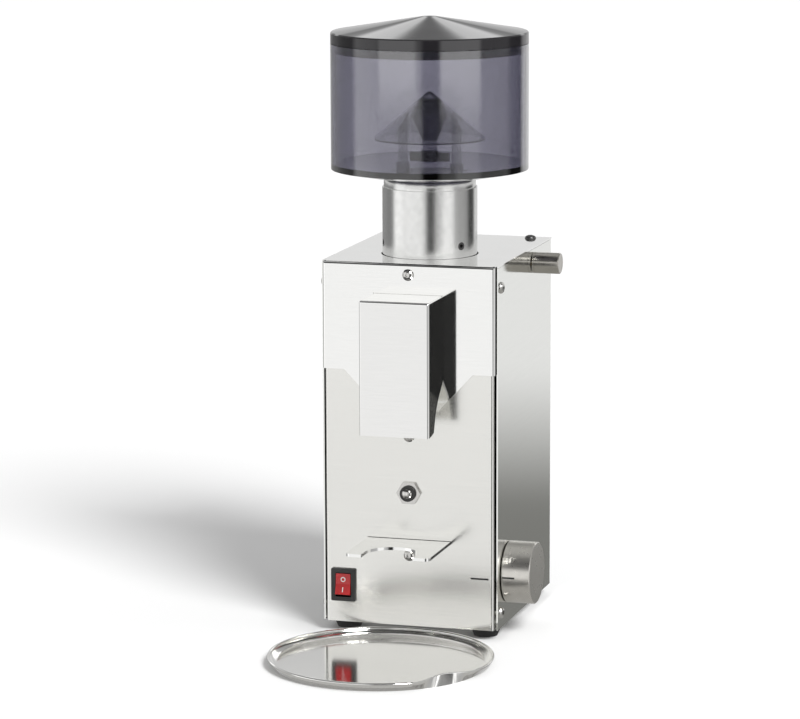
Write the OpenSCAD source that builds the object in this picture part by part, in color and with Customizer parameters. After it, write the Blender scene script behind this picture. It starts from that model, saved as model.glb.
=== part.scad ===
// Electric coffee grinder with a worm-driven burr adjustment.
// Millimetres. The origin lies on the table, under the grinding axis; +Y is the back, +Z is up.

/* [Case] */
// Width of the case over its side walls
case_w = 121.6; // [119:0.2:128]
// Depth of the case from the front face to the back face
case_d = 147; // [142:1:160]
// Height of the case from the panel's lower edge to the top plate
case_h = 246; // [244:1:262]
// Distance from the front face back to the grinding axis
axis_inset = 52.8; // [52.2:0.2:56]
// Thickness of the stainless sheet
sheet = 1; // [0.8:0.1:1.2]
// Outer radius of the sheet's bends
bend_r = 2; // [1.6:0.1:2.6]
// Height of the seam between the hood and the front panel
seam_z = 181; // [177:1:190]
// Half width of the hood's V at the seam
vee_half_w = 44.5; // [40:0.5:50]
// Half width of the hood's V at its tip
vee_tip_half_w = 14; // [10:0.5:18]
// Height of the hood's V
vee_h = 32.7; // [26:0.1:36]

/* [Feet] */
// Height of a foot
foot_h = 7.5; // [7.2:0.1:12]
// Radius of a foot at the base plate
foot_top_r = 11; // [9:0.5:12]
// Radius of a foot on the table
foot_bottom_r = 8; // [7:0.5:9]
// Distance of a foot's centre from the side of the case
foot_side_inset = 12.8; // [12:0.2:16]
// Distance of a foot's centre from the front and the back of the case
foot_end_inset = 20; // [18:0.5:26]

/* [Chute] */
// Width of the chute cover
chute_w = 48; // [44:1:52]
// How far the chute cover stands out of the front face
chute_reach = 34; // [28:1:40]
// Height of the chute cover's top
chute_top_z = 233.2; // [228:0.2:235]
// Height of the chute cover's lower front edge
chute_bottom_z = 143.3; // [138:0.1:150]
// Height at which the chute cover's sides leave the hood
chute_window_z = 176.4; // [174:0.2:180]

/* [Fork] */
// Width of the portafilter fork
fork_w = 57.6; // [52:0.2:62]
// How far the fork stands out of the panel
fork_reach = 51.5; // [44:0.5:58]
// Height of the fork's upper face
fork_z = 67; // [64:0.5:74]
// Thickness of the fork's plate
fork_t = 2; // [1.5:0.1:3]
// Radius of the fork's U cut-out
fork_cut_r = 17.8; // [15:0.1:20]
// Height of the screw that holds the fork
fork_screw_z = 56; // [54:0.5:58]

/* [Start button] */
// Height of the start button
button_z = 98.8; // [96:0.2:99.4]
// Radius of the button's threaded bush
button_bush_r = 5.3; // [5:0.1:5.8]
// Radius of the plunger
plunger_r = 3.5; // [3:0.1:3.8]
// Travel of the plunger
plunger_travel = 2; // [1:0.1:2]
// Width of the hexagon nut across its flats
button_nut_af = 14.4; // [14:0.1:16]

/* [Rocker switch] */
// Distance of the switch from the middle of the panel
switch_x = 46.1; // [43:0.1:46.6]
// Height of the middle of the switch
switch_z = 33; // [33:0.5:36]
// Width of the switch's bezel
bezel_w = 17; // [16:0.5:18]
// Height of the switch's bezel
bezel_h = 22.5; // [21.5:0.5:23]
// Angle between the rocker's two positions
rocker_swing = 20; // [12:1:22]

/* [Timer knob] */
// Radius of the timer knob
timer_knob_r = 20.85; // [18:0.05:22]
// Length of the timer knob
timer_knob_l = 19.7; // [17:0.1:24]
// Height of the timer knob's axis
timer_z = 42.5; // [40:0.5:46]
// Distance of the timer knob's axis from the front face
timer_inset = 29.5; // [28:0.5:31]

/* [Burr adjustment] */
// Radius of the adjusting knob
adjust_knob_r = 7.2; // [6.5:0.1:8]
// Length of the adjusting knob
adjust_knob_l = 18.5; // [15:0.5:24]
// Depth of the worm's axis below the top plate's upper face
worm_drop = 10.5; // [10:0.1:12]
// Module of the worm and the ring
gear_module = 1.25; // [1.2:0.01:1.28]
// Teeth of the adjusting ring
ring_teeth = 62; // [60:1:62]
// Pitch radius of the worm
worm_pitch_r = 5.45; // [5.2:0.05:5.6]
// Width of the adjusting ring's toothed face
ring_face_w = 10; // [8:0.5:10.5]

/* [Neck and hopper] */
// Outer radius of the neck collar
neck_r = 32; // [31.4:0.2:34]
// Height of the neck collar's upper edge
neck_top_z = 304.2; // [298:0.2:312]
// Outer radius of the hopper
hopper_r = 66.4; // [60:0.2:74]
// Wall of the hopper
hopper_wall = 3; // [2.5:0.1:3.5]
// Height of the hopper's lower outer edge above the neck
hopper_cone_h = 7.1; // [5:0.1:12]
// Height of the hopper's wall
hopper_h = 84; // [80:0.5:110]
// Radius of the hopper's throat
throat_r = 14; // [12.5:0.1:14.4]
// Height of the lid's skirt
lid_skirt_h = 7.5; // [6:0.1:10]
// Rise of the lid's cone
lid_rise = 10.4; // [8:0.1:14]
// Radius of the bean guard's cone
guard_r = 37.5; // [34:0.5:42]
// Distance of the bean guard's apex below the hopper's rim
guard_drop = 32.3; // [27:0.1:36]
// Rise of the bean guard's cone
guard_rise = 31; // [28:0.5:33]

/* [Burrs] */
// Outer radius of the burrs
burr_r = 25; // [24:0.2:25.6]
// Thickness of each burr
burr_t = 7.4; // [6.8:0.1:7.6]
// Gap between the burrs' working faces
burr_gap = 0.4; // [0.2:0.05:0.6]
// Grooves in each burr
burr_grooves = 18; // [12:1:20]

/* [Motor] */
// Outer radius of the motor's stator core
stator_r = 44; // [43.6:0.1:44.4]
// Height of the stator core
stator_h = 32; // [30:0.5:32.5]
// Radius of the rotor core
rotor_r = 24; // [22:0.5:24.5]
// Radius of the motor shaft in its bearings
shaft_r = 6; // [5.8:0.1:6.2]
// Blades of the cooling fan
fan_blades = 9; // [6:1:12]

/* [Tray] */
// Outer radius of the tray's rim
tray_r = 74.5; // [68:0.5:80]
// Height of the tray's rim
tray_h = 6.5; // [5:0.1:6.6]
// Distance of the tray's middle from the middle of the case, to the right
tray_x = 1.8; // [0:0.1:6]
// How far the tray's rim reaches under the case
tray_tuck = 1.8; // [0:0.1:6]
// Sheet thickness of the tray
tray_t = 0.8; // [0.6:0.1:1.2]

/* [Hidden] */
$fn = 96;

// Clearances that the whole build shares
lap = 0.15;        // between nested sheets
run_gap = 0.05;    // radial, round a shaft that turns
free_gap = 0.3;    // between parts that pass each other
screw_gap = 0.1;   // radial, round a screw's thread
over = 1;          // overrun of a cutter

// Planes of the case
half_w = case_w / 2;
front_y = -axis_inset;
back_y = front_y + case_d;
bottom_z = foot_h;
top_z = foot_h + case_h;
function layer(n) = n * (sheet + lap);
floor_z = bottom_z + sheet;

// Standard parts
screw_r = 2;
screw_head_r = 3.9;
screw_head_h = 2.2;
screw_socket_af = 2.5;
screw_socket_h = 1.3;
screw_hole_r = screw_r + free_gap;
case_screw_l = 7;
clinch_r = 3.4;
clinch_h = 3;
head_profile_shares = [[0, 0], [1, 0], [1, 0.2], [0.88, 0.6], [0.68, 0.86], [0.42, 1], [0, 1]];

// Case
flange_d = 18;            // side flanges of the hood and the panel
wrap_setback = 3.5;       // front edge of the wrap behind the front face
wrap_flange_d = 16;       // inward flange at the wrap's upper rear
base_flange_h = 15;
panel_overlap = 12;       // how far the panel runs up behind the hood
side_screw_inset = 10.5;  // behind the front face
side_screw_low = 10.9;    // above the case's lower edge
side_screw_drop = 14.9;   // below the top plate
rear_screw_x = 40;
top_screw_x = 48;
top_screw_inset = 9;      // before the back face
front_screw_drop = 7.3;   // of the hood's front screw, below the top plate
panel_screw_z = 137.3;
neck_hole_gap = 0.8;
vent_w = 3;
vent_l = 44;
vent_count = 6;
vent_pitch = 8;
vent_drop = 118;          // lowest slot below the top plate
vent_bottom_z = top_z - vent_drop;
base_vent_y = 8;

// Feet, pillars and chassis
foot_x = half_w - foot_side_inset;
foot_front_y = front_y + foot_end_inset;
foot_rear_y = back_y - foot_end_inset;
foot_bore_r = 4.6;
foot_bore_h = 4;
foot_nut_af = 7;
foot_nut_h = 3.2;
foot_screw_l = foot_h - foot_bore_h + sheet + foot_nut_h;
pillar_r = 4.5;
pillar_side_gap = 1.35;
pillar_x = half_w - layer(3) - sheet - pillar_r - pillar_side_gap;
pillar_front_y = -8;
pillar_foot_gap = 3.1;      // between a foot and a pillar's screw head
pillar_rear_y = foot_rear_y - foot_top_r - screw_head_r - pillar_foot_gap;
pillar_screw_l = 8;
chassis_t = 3;
chassis_drop = 54;        // worm axis above the chassis plate's upper face
worm_z = top_z - worm_drop;
chassis_z = worm_z - chassis_drop;
chassis_bottom_z = chassis_z - chassis_t;
chassis_half_w = half_w - 5.8;
chassis_front_gap = 6.3;
chassis_rear_gap = 6.2;
chassis_hole_r = 10;

// Grinding chamber, from the chassis plate up
chamber_flange_r = 45.6;
chamber_flange_h = 6;
chamber_floor_h = 9;
chamber_wall = 3;
chamber_r = 30;
outlet_half_w = 14;
outlet_z0 = chassis_z + chamber_floor_h + sheet;
outlet_h = 16;
hub_lift = 1;             // hub's underside above the chamber's floor
hub_boss_h = 3.6;
hub_boss_r = 9.5;
hub_t = 6;
hub_z0 = chassis_z + chamber_floor_h + hub_lift;
hub_top_z = hub_z0 + hub_boss_h + hub_t;
vane_count = 3;
vane_w = 4;
vane_tip_gap = 0.7;
burr_z0 = hub_top_z;
burr_top_z = burr_z0 + 2 * burr_t + burr_gap;
burr_bore_r = 14;
lower_burr_bore_r = 12;
burr_screw_count = 3;
burr_screw_r = 1.6;
burr_screw_ring_r = 20;
burr_screw_head_r = 3;
burr_screw_head_h = 2.2;
burr_screw_bite = 4.5;
groove_w = 2.2;
groove_offset = 9;        // how far the grooves pass beside the axis
groove_rise = 2.5;        // degrees, shallower towards the rim
burr_mouth_h = 3;
burr_mouth_w = 2.6;
groove_twist = 10;        // turn of the screws against the grooves

// Adjusting ring and worm
ring_pitch_r = gear_module * ring_teeth / 2;
ring_tip_r = ring_pitch_r + gear_module;
root_depth_share = 1.25;
ring_root_r = ring_pitch_r - root_depth_share * gear_module;
worm_y = ring_pitch_r + worm_pitch_r;
worm_lead = PI * gear_module;
worm_lead_angle = atan(worm_lead / (2 * PI * worm_pitch_r));
worm_tip_r = worm_pitch_r + gear_module;
worm_root_r = worm_pitch_r - root_depth_share * gear_module;
backlash = 0.45;
pressure_angle = 20;
worm_turns = 5;
worm_steps = 18;          // slices in a turn
worm_root_steps = 14;
worm_collar_r = worm_root_r - 0.25;
worm_shaft_r = 3;
ring_z0 = worm_z - ring_face_w / 2;
ring_z1 = worm_z + ring_face_w / 2;
carrier_r = 33;
carrier_top_z = ring_z1 + 1.6;
chamber_top_gap = 0.4;    // below the adjusting ring
chamber_top_z = ring_z0 - chamber_top_gap;
spigot_h = 16.4;
neck_wall = 4.5;
neck_bore_r = neck_r - neck_wall;
spigot_r = neck_bore_r - run_gap;
spigot_wall = 3.4;
funnel_h = 6;

// Worm bracket
ear_gap = 12;             // inner faces of the ears from the grinding axis
ear_t = 4;
ear_wall = 4.4;
ear_half_h = 6.5;
bracket_half_w = ear_gap + ear_t;
bracket_reach = 12;       // plate's back behind the worm's axis
bracket_back_y = worm_y + bracket_reach;
bracket_t = 3;
bracket_foot_d = 12;
bracket_screw_x = 10;
bracket_screw_l = 8;

// Neck details
neck_bevel_h = 3;
neck_bevel_w = 2;
neck_groove_w = 0.7;
neck_groove_d = 0.5;
neck_screw_count = 3;
neck_screw_r = 2.6;
neck_screw_turn = -33;
neck_screw_z = carrier_top_z + 11.9;
grub_socket_af = 2.6;
grub_socket_h = 2;

// Hopper details
hopper_bottom_z = neck_top_z + hopper_cone_h;
hopper_rim_z = hopper_bottom_z + hopper_h;
guard_apex_z = hopper_rim_z - guard_drop;
seat_rise = 0.4;          // hopper's underside above the neck
seat_r = neck_r - neck_bevel_w + sheet;
spout_h = 16;
spout_wall = 3;
locator_h = 8;
locator_wall = 3;
locator_r = neck_bore_r - free_gap;
floor_t = 3.8;
floor_fall = 9.2;
leg_x = 18.7;
leg_r = 3.3;
pin_r = 2.4;
socket_r = 4.5;
socket_h = 9;
guard_wall = 1.6;
guard_tip_r = 3;
guard_brim_h = 1.2;
stem_top_drop = 5;
stem_profile_shares = [[0, 0], [0.5, 0], [0.83, 0.17], [1, 0.31], [0.9, 0.45], [0.66, 0.64], [0.42, 0.8],
    [0.4, 1], [0, 1]];
stem_r = 12;
stem_h = 35;
stem_tip_r = 3;
stem_tip_h = 8.2;
nut_hub_r = 6;
nut_wing_l = 13.4;
nut_wing_t = 3.4;
nut_h = 7;
lid_wall = 2.6;
lid_plug_h = 6;
lid_gap = free_gap;
lid_edge_r = 0.8;
lid_flat_r = 5;

// Duct
duct_wall = 2.5;
duct_plate_t = 3;
duct_plate_half_w = 33;
duct_plate_z0 = panel_screw_z - 6.5;
duct_boss_r = 6;
cover_flange_w = 6;
cover_window_gap = 0.3;
cover_bend_r = 1.6;
cover_profile_shares = [[0, 1], [0.36, 0.66], [0.52, 0.43], [0.66, 0.06], [0.84, 0.02], [1, 0]];
hood_roof_reach = 16;

// Fork
fork_flange_h = 21;
fork_tip_r = 3.5;
fork_cut_y = 42;          // centre of the U before the panel
fork_slot_gap = 0.25;

// Start button
button_bush_out = 4.6;    // bush in front of the panel
dome_spare = 0.2;         // dome in front of the bush when it is pressed
button_dome_out = button_bush_out + plunger_travel + dome_spare;
button_body_r = 7;
button_body_l = 15;
button_nut_h = 2.6;
plunger_bore_gap = 0.1;
plunger_flange_r = 4.3;
plunger_flange_t = 1.4;
button_step = 1.6;        // bush's bore ends this far behind the duct layer
spring_r = 3.3;
spring_wire_r = 0.35;
spring_turns = 5;
spring_steps = 12;
terminal_w = 3;
terminal_t = 0.8;
terminal_l = 7;

// Rocker switch
bezel_out = 1.8;
bezel_corner_r = 1;
switch_body_margin = 1.5;
switch_depth = 16;
window_half_w = 5.4;
window_half_h = 8.3;
rocker_half_w = 5.1;
rocker_half_h = 7.1;
rocker_front = 4.2;
rocker_dip = 0.9;
rocker_back = 4.5;
rocker_pivot_back = 1.2;  // pivot behind the panel's face
rocker_pin_r = 1;
rocker_pin_l = 1;

// Timer
pot_body_r = 8;
pot_body_l = 10;
pot_bush_r = 3.5;
pot_bush_l = 5;
pot_nut_af = 10;
pot_nut_h = 2;
timer_shaft_r = 3;
timer_shaft_l = 12;
knob_gap = 0.5;
knob_edge = 0.6;
knob_recess_r = 9;
knob_recess_h = 4;
timer_y = front_y + timer_inset;
grub_r = 2;
grub_l = 6;

// Motor
bell_h = 16;
bell_wall = 3;
bearing_r = 14;
bearing_h = 8;
bearing_boss_wall = 3;
bearing_drop = 2.5;       // bearing's outer face from the bell's outer face
motor_bolt_ring_r = 40;
motor_bolt_ear_r = 4.5;
motor_head_r = 3.5;
motor_head_h = 3.6;
stator_slots = 12;
slot_w = 4;
slot_depth = 9;
air_gap = 0.5;
winding_r0 = 27;
winding_r1 = 35;
winding_h = 8;
winding_gap = 0.3;
end_ring_h = 3;
end_ring_w = 6;
stator_top_z = chassis_bottom_z - bell_h;
stator_bottom_z = stator_top_z - stator_h;
bell_bottom_z = stator_bottom_z - bell_h;
fan_r = 35;
fan_h = 8;
fan_gap = 1.5;
fan_disc_t = 1.4;
fan_hub_r = 10;
fan_blade_t = 1.2;
fan_blade_lean = 25;
shaft_top_r = 4;
shaft_top_l = 11;
feed_nut_r = 8;
feed_nut_h = 14;
feed_vane_lift = 2;
feed_vane_h = 16;
feed_vane_l = 10.5;
feed_vane_t = 2.6;
feed_vane_lean = 35;

// Board, capacitor and gland
board_w = 70;
board_d = 56;
board_t = 1.6;
board_x0 = -30;
board_post_h = 11;
board_post_r = 3;
board_post_inset = 5;
relay_h = 15;
board_can_r = 5;
board_box_shares = [[0.15, 0.42, 0.2, 0.48, 1], [0.52, 0.88, 0.2, 0.62, 1.3],
    [0.2, 0.8, 0.8, 0.95, 0.65]];
board_can_shares = [0.28, 0.64];
capacitor_r = 17.5;
capacitor_h = 62;
capacitor_x = -24;
capacitor_inset = 24;
capacitor_stud_r = 4;
board_gap = 6.7;          // between the board and the capacitor
board_y0 = back_y - capacitor_inset - capacitor_r - board_gap - board_d;
gland_x = 36;
gland_z = 34;
gland_r = 8;
gland_bore_r = 4.1;
gland_out = 6;
gland_thread_r = 6;
gland_in = 8;
gland_nut_h = 3;

// Tray
tray_base_r = tray_r - 5;
tray_bead_r = 1.1;
tray_y = front_y + tray_tuck - tray_r;
notch_turn = -36;
notch_half_angle = 21.5;
notch_rise = 1.6;         // of the wall's edge in the notch's middle
notch_in = 7.5;           // how far the wall's edge is pressed in
notch_shares = [-1, -0.96, -0.88, -0.75, -0.6, -0.45, -0.3, -0.15, 0, 0.15, 0.3, 0.45, 0.6, 0.75, 0.88,
    0.96, 1];
rim_steps = 84;

// A box given by its corners
module block(x0, x1, y0, y1, z0, z1) {
    translate([x0, y0, z0]) cube([x1 - x0, y1 - y0, z1 - z0]);
}

// An upright cylinder between two heights
module rod(r, z0, z1) {
    translate([0, 0, z0]) cylinder(h = z1 - z0, r = r);
}

// A cutter for an upright bore, and an upright tube, between two heights
module bore(r, z0, z1) { rod(r, z0 - over, z1 + over); }
module pipe(r_out, r_in, z0, z1) {
    difference() {
        rod(r_out, z0, z1);
        bore(r_in, z0, z1);
    }
}

// A box whose upright edges are round
module rounded_block(x0, x1, y0, y1, z0, z1, r) {
    block(x0 + r, x1 - r, y0, y1, z0, z1);
    block(x0, x1, y0 + r, y1 - r, z0, z1);
    for (x = [x0 + r, x1 - r], y = [y0 + r, y1 - r])
        translate([x, y, 0]) rod(r, z0, z1);
}

// Places children so that their +Z points right, back or forwards
module to_right(at) { translate(at) rotate([0, 90, 0]) children(); }
module to_back(at) { translate(at) rotate([-90, 0, 0]) children(); }
module to_front(at) { translate(at) rotate([90, 0, 0]) children(); }

// Both sides of the case
module both_sides() {
    children();
    mirror([1, 0, 0]) children();
}

// A hexagon nut with its bore, standing on z = 0
module hex_nut(af, bore_r, h) {
    difference() {
        cylinder(h = h, r = af / sqrt(3), $fn = 6);
        bore(bore_r, 0, h);
    }
}

// A button-head screw: seat at z = 0, head above it, thread below it
module button_screw(l) {
    difference() {
        rotate_extrude() polygon([for (p = head_profile_shares) [p[0] * screw_head_r, p[1] * screw_head_h]]);
        translate([0, 0, screw_head_h - screw_socket_h])
            cylinder(h = screw_socket_h + over, r = screw_socket_af / sqrt(3), $fn = 6);
    }
    rod(screw_r, -l, 0);
}

// A grub screw with a socket in its upper end, standing on z = 0
module grub_screw(r, l) {
    difference() {
        rod(r, 0, l);
        translate([0, 0, l - grub_socket_h])
            cylinder(h = grub_socket_h + over, r = grub_socket_af / sqrt(3) * r / neck_screw_r, $fn = 6);
    }
}

// Screw-shaped sweeps, one ring of points for each angle. A spring's wire is a section of
// [radius, offset along the axis] pairs, a thread is the outline that a cut across it shows.
function wire_points(section, lead, angles) = [for (a = angles, p = section)
    [p[0] * cos(a), p[0] * sin(a), p[1] + lead * a / 360]];
function thread_points(outline, lead, angles) = [for (a = angles, p = outline)
    [p[0] * cos(a) - p[1] * sin(a), p[0] * sin(a) + p[1] * cos(a), lead * a / 360]];
function sweep_faces(count, rings) = concat(
    [[for (i = [0 : count - 1]) i]],
    [for (k = [0 : rings - 2], i = [0 : count - 1]) [k * count + i, (k + 1) * count + i,
        (k + 1) * count + (i + 1) % count]],
    [for (k = [0 : rings - 2], i = [0 : count - 1]) [k * count + i, (k + 1) * count + (i + 1) % count,
        k * count + (i + 1) % count]],
    [[for (i = [count - 1 : -1 : 0]) (rings - 1) * count + i]]);

// An outline drawn in x and z, or in y and z, given its thickness
module slab_xz(y0, y1) {
    translate([0, y1, 0]) rotate([90, 0, 0]) linear_extrude(y1 - y0) children();
}
module slab_yz(x0, x1) {
    translate([x0, 0, 0]) rotate([90, 0, 90]) linear_extrude(x1 - x0) children();
}

// Where the case screws sit, seen from outside; the child's +Z points out of the case
side_screw_y = front_y + side_screw_inset;
low_screw_z = bottom_z + side_screw_low;
high_screw_z = top_z - side_screw_drop;
hood_screw_z = top_z - front_screw_drop;
module side_screw_spots(z, depth) {
    both_sides() to_right([half_w - depth, side_screw_y, z]) children();
}
module rear_screw_spots(depth) {
    both_sides() to_back([rear_screw_x, back_y - depth, low_screw_z]) children();
}
module top_screw_spots(depth) {
    both_sides() translate([top_screw_x, back_y - top_screw_inset, top_z - depth]) children();
}
module front_screw_spot(z, depth) { to_front([0, front_y + depth, z]) children(); }
module screw_hole() { rod(screw_hole_r, -flange_d / 2, over + sheet); }

// Bent sheet that is open at the back and below: outer planes, and the bends' radius
module front_shell(half, y0, z0, z1) {
    difference() {
        rounded_block(-half, half, y0, y0 + flange_d + bend_r, z0, z1, bend_r);
        rounded_block(-half + sheet, half - sheet, y0 + sheet, y0 + flange_d + 2 * bend_r, z0 - over,
            z1 + over, bend_r - sheet);
        block(-half - over, half + over, y0 + flange_d, y0 + flange_d + 2 * bend_r, z0 - over, z1 + over);
    }
}

// Hood: polished sheet, the top plate and the upper front with its V
hood_half_w = half_w - layer(1);
module hood_front() {
    intersection() {
        front_shell(hood_half_w, front_y, seam_z - vee_h - over, top_z);
        slab_xz(front_y - over, front_y + flange_d + over)
            polygon([[-half_w, seam_z], [-vee_half_w, seam_z], [-vee_tip_half_w, seam_z - vee_h],
                [vee_tip_half_w, seam_z - vee_h], [vee_half_w, seam_z], [half_w, seam_z],
                [half_w, top_z], [-half_w, top_z]]);
        union() {
            block(-half_w, half_w, front_y, back_y, seam_z - vee_h, top_z - bend_r);
            block(-half_w, half_w, front_y + bend_r, back_y, seam_z - vee_h, top_z);
            to_right([-half_w, front_y + bend_r, top_z - bend_r]) rod(bend_r, 0, case_w);
        }
    }
}
module hood() {
    color("gainsboro") difference() {
        union() {
            hood_front();
            block(-half_w, half_w, front_y + wrap_setback, back_y, top_z - sheet, top_z);
            block(-hood_half_w + bend_r, hood_half_w - bend_r, front_y + bend_r, front_y + flange_d,
                top_z - sheet, top_z);
        }
        rod(neck_r + neck_hole_gap, top_z - 2 * sheet, top_z + over);
        top_screw_spots(0) screw_hole();
        front_screw_spot(hood_screw_z, 0) screw_hole();
        side_screw_spots(high_screw_z, 0) screw_hole();
        block(-chute_w / 2 - cover_window_gap, chute_w / 2 + cover_window_gap, front_y - over,
            front_y + 2 * sheet, chute_window_z - cover_window_gap, chute_top_z + cover_window_gap);
    }
}

// Front panel: brushed sheet behind the hood's lower edge
panel_half_w = half_w - layer(2);
panel_y = front_y + layer(1);
module front_panel() {
    notch_half_w = chute_w / 2 + cover_flange_w + free_gap;
    color("lightgray") difference() {
        front_shell(panel_half_w, panel_y, bottom_z, seam_z + panel_overlap);
        block(-notch_half_w, notch_half_w, panel_y - over, panel_y + 2 * sheet,
            chute_window_z - cover_window_gap - free_gap, seam_z + panel_overlap + over);
        front_screw_spot(panel_screw_z, layer(1)) screw_hole();
        front_screw_spot(fork_screw_z, layer(1)) screw_hole();
        side_screw_spots(low_screw_z, 0) screw_hole();
        block(-fork_w / 2 - fork_slot_gap, fork_w / 2 + fork_slot_gap, panel_y - over, panel_y + 2 * sheet,
            fork_z - fork_t - fork_slot_gap, fork_z + fork_slot_gap);
        to_back([0, panel_y - over, button_z]) cylinder(h = 2 * over + sheet, r = button_bush_r + screw_gap);
        block(-switch_x - switch_body_half_w - screw_gap, -switch_x + switch_body_half_w + screw_gap,
            panel_y - over, panel_y + 2 * sheet, switch_z - switch_body_half_h - screw_gap,
            switch_z + switch_body_half_h + screw_gap);
    }
}

// Rear wrap: one sheet bent into both sides and the back, with a flange under the hood
module rear_wrap() {
    wrap_y = front_y + wrap_setback;
    wrap_top = top_z - layer(1);
    color("silver") difference() {
        union() {
            difference() {
                rounded_block(-half_w, half_w, wrap_y - 2 * bend_r, back_y, bottom_z, wrap_top, bend_r);
                rounded_block(-half_w + sheet, half_w - sheet, wrap_y - 3 * bend_r, back_y - sheet,
                    bottom_z - over, wrap_top + over, bend_r - sheet);
                block(-half_w - over, half_w + over, wrap_y - 3 * bend_r, wrap_y, bottom_z - over,
                    wrap_top + over);
            }
            block(-half_w + bend_r + sheet, half_w - bend_r - sheet, back_y - wrap_flange_d,
                back_y - sheet / 2, wrap_top - sheet, wrap_top);
        }
        side_screw_spots(low_screw_z, 0) screw_hole();
        side_screw_spots(high_screw_z, 0) screw_hole();
        rear_screw_spots(0) screw_hole();
        top_screw_spots(0) screw_hole();
        to_right([half_w - 2 * sheet, timer_y, timer_z]) cylinder(h = 3 * sheet, r = pot_bush_r + screw_gap);
        to_right([half_w - 2 * sheet, worm_y, worm_z]) cylinder(h = 3 * sheet, r = worm_shaft_r + sheet);
        to_back([gland_x, back_y - 2 * sheet, gland_z])
            cylinder(h = 3 * sheet, r = gland_thread_r + screw_gap);
        for (k = [0 : vent_count - 1])
            block(-vent_l / 2, vent_l / 2, back_y - 2 * sheet, back_y + over, vent_bottom_z + k * vent_pitch,
                vent_bottom_z + k * vent_pitch + vent_w);
    }
}

// Base plate: shallow pan with pressed-up flanges, air slots and the board's posts
base_half_w = half_w - layer(3);
base_y0 = front_y + layer(2);
base_y1 = back_y - layer(1);
module board_post_spots() {
    for (x = [board_x0 + board_post_inset, board_x0 + board_w - board_post_inset],
            y = [board_y0 + board_post_inset, board_y0 + board_d - board_post_inset])
        translate([x, y, 0]) children();
}
module foot_spots() {
    both_sides() for (y = [foot_front_y, foot_rear_y]) translate([foot_x, y, 0]) children();
}
module pillar_spots() {
    both_sides() for (y = [pillar_front_y, pillar_rear_y]) translate([pillar_x, y, 0]) children();
}
module base_plate() {
    color("darkgray") difference() {
        union() {
            difference() {
                rounded_block(-base_half_w, base_half_w, base_y0, base_y1, bottom_z,
                    bottom_z + base_flange_h, bend_r);
                rounded_block(-base_half_w + sheet, base_half_w - sheet, base_y0 + sheet, base_y1 - sheet,
                    floor_z, bottom_z + base_flange_h + over, bend_r - sheet);
            }
            board_post_spots() rod(board_post_r, floor_z, floor_z + board_post_h);
        }
        foot_spots() bore(screw_hole_r, bottom_z, floor_z);
        pillar_spots() bore(screw_hole_r, bottom_z, floor_z);
        side_screw_spots(low_screw_z, layer(2)) screw_hole();
        rear_screw_spots(0) screw_hole();
        translate([capacitor_x, back_y - capacitor_inset, 0])
            bore(capacitor_stud_r + screw_gap, bottom_z, floor_z);
        for (k = [0 : vent_count - 1])
            block(-vent_l / 2, vent_l / 2, front_y + base_vent_y + k * vent_pitch,
                front_y + base_vent_y + k * vent_pitch + vent_w, bottom_z - over, floor_z + over);
    }
}

// Rubber feet with a counterbore for the screw's head
module feet() {
    color("black") foot_spots() difference() {
        rotate_extrude() polygon([[0, 0], [foot_bottom_r, 0], [foot_top_r, foot_h], [0, foot_h]]);
        rod(foot_bore_r, -over, foot_bore_h);
        rod(screw_hole_r, 0, foot_h + over);
    }
}
module foot_screws() {
    color("gray") foot_spots() translate([0, 0, foot_bore_h]) rotate([180, 0, 0]) button_screw(foot_screw_l);
}
module foot_nuts() {
    color("gray") foot_spots() translate([0, 0, floor_z])
        hex_nut(foot_nut_af, screw_r + screw_gap, foot_nut_h);
}

// Pillars between the base plate and the chassis plate
module pillars() {
    color("lightslategray") pillar_spots() difference() {
        rod(pillar_r, floor_z, chassis_bottom_z);
        for (z = [floor_z - over, chassis_bottom_z - pillar_screw_l])
            translate([0, 0, z]) cylinder(h = pillar_screw_l + over, r = screw_r + screw_gap);
    }
}
module pillar_screws() {
    color("gray") pillar_spots() {
        translate([0, 0, bottom_z]) rotate([180, 0, 0]) button_screw(pillar_screw_l);
        translate([0, 0, chassis_z]) button_screw(pillar_screw_l);
    }
}

// Chassis plate: carries the motor below, the grinding chamber and the worm above
module motor_bolt_spots() {
    for (a = [45 : 90 : 315]) rotate([0, 0, a]) translate([motor_bolt_ring_r, 0, 0]) children();
}
module bracket_screw_spots() {
    both_sides() translate([bracket_screw_x, bracket_back_y + bracket_foot_d / 2, 0]) children();
}
module chassis_plate() {
    color("slategray") difference() {
        rounded_block(-chassis_half_w, chassis_half_w, front_y + chassis_front_gap,
            back_y - chassis_rear_gap, chassis_bottom_z, chassis_z, bend_r);
        bore(chassis_hole_r, chassis_bottom_z, chassis_z);
        motor_bolt_spots() bore(screw_hole_r, chassis_bottom_z, chassis_z);
        pillar_spots() bore(screw_hole_r, chassis_bottom_z, chassis_z);
        bracket_screw_spots() bore(screw_r + screw_gap, chassis_bottom_z, chassis_z);
    }
}

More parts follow.
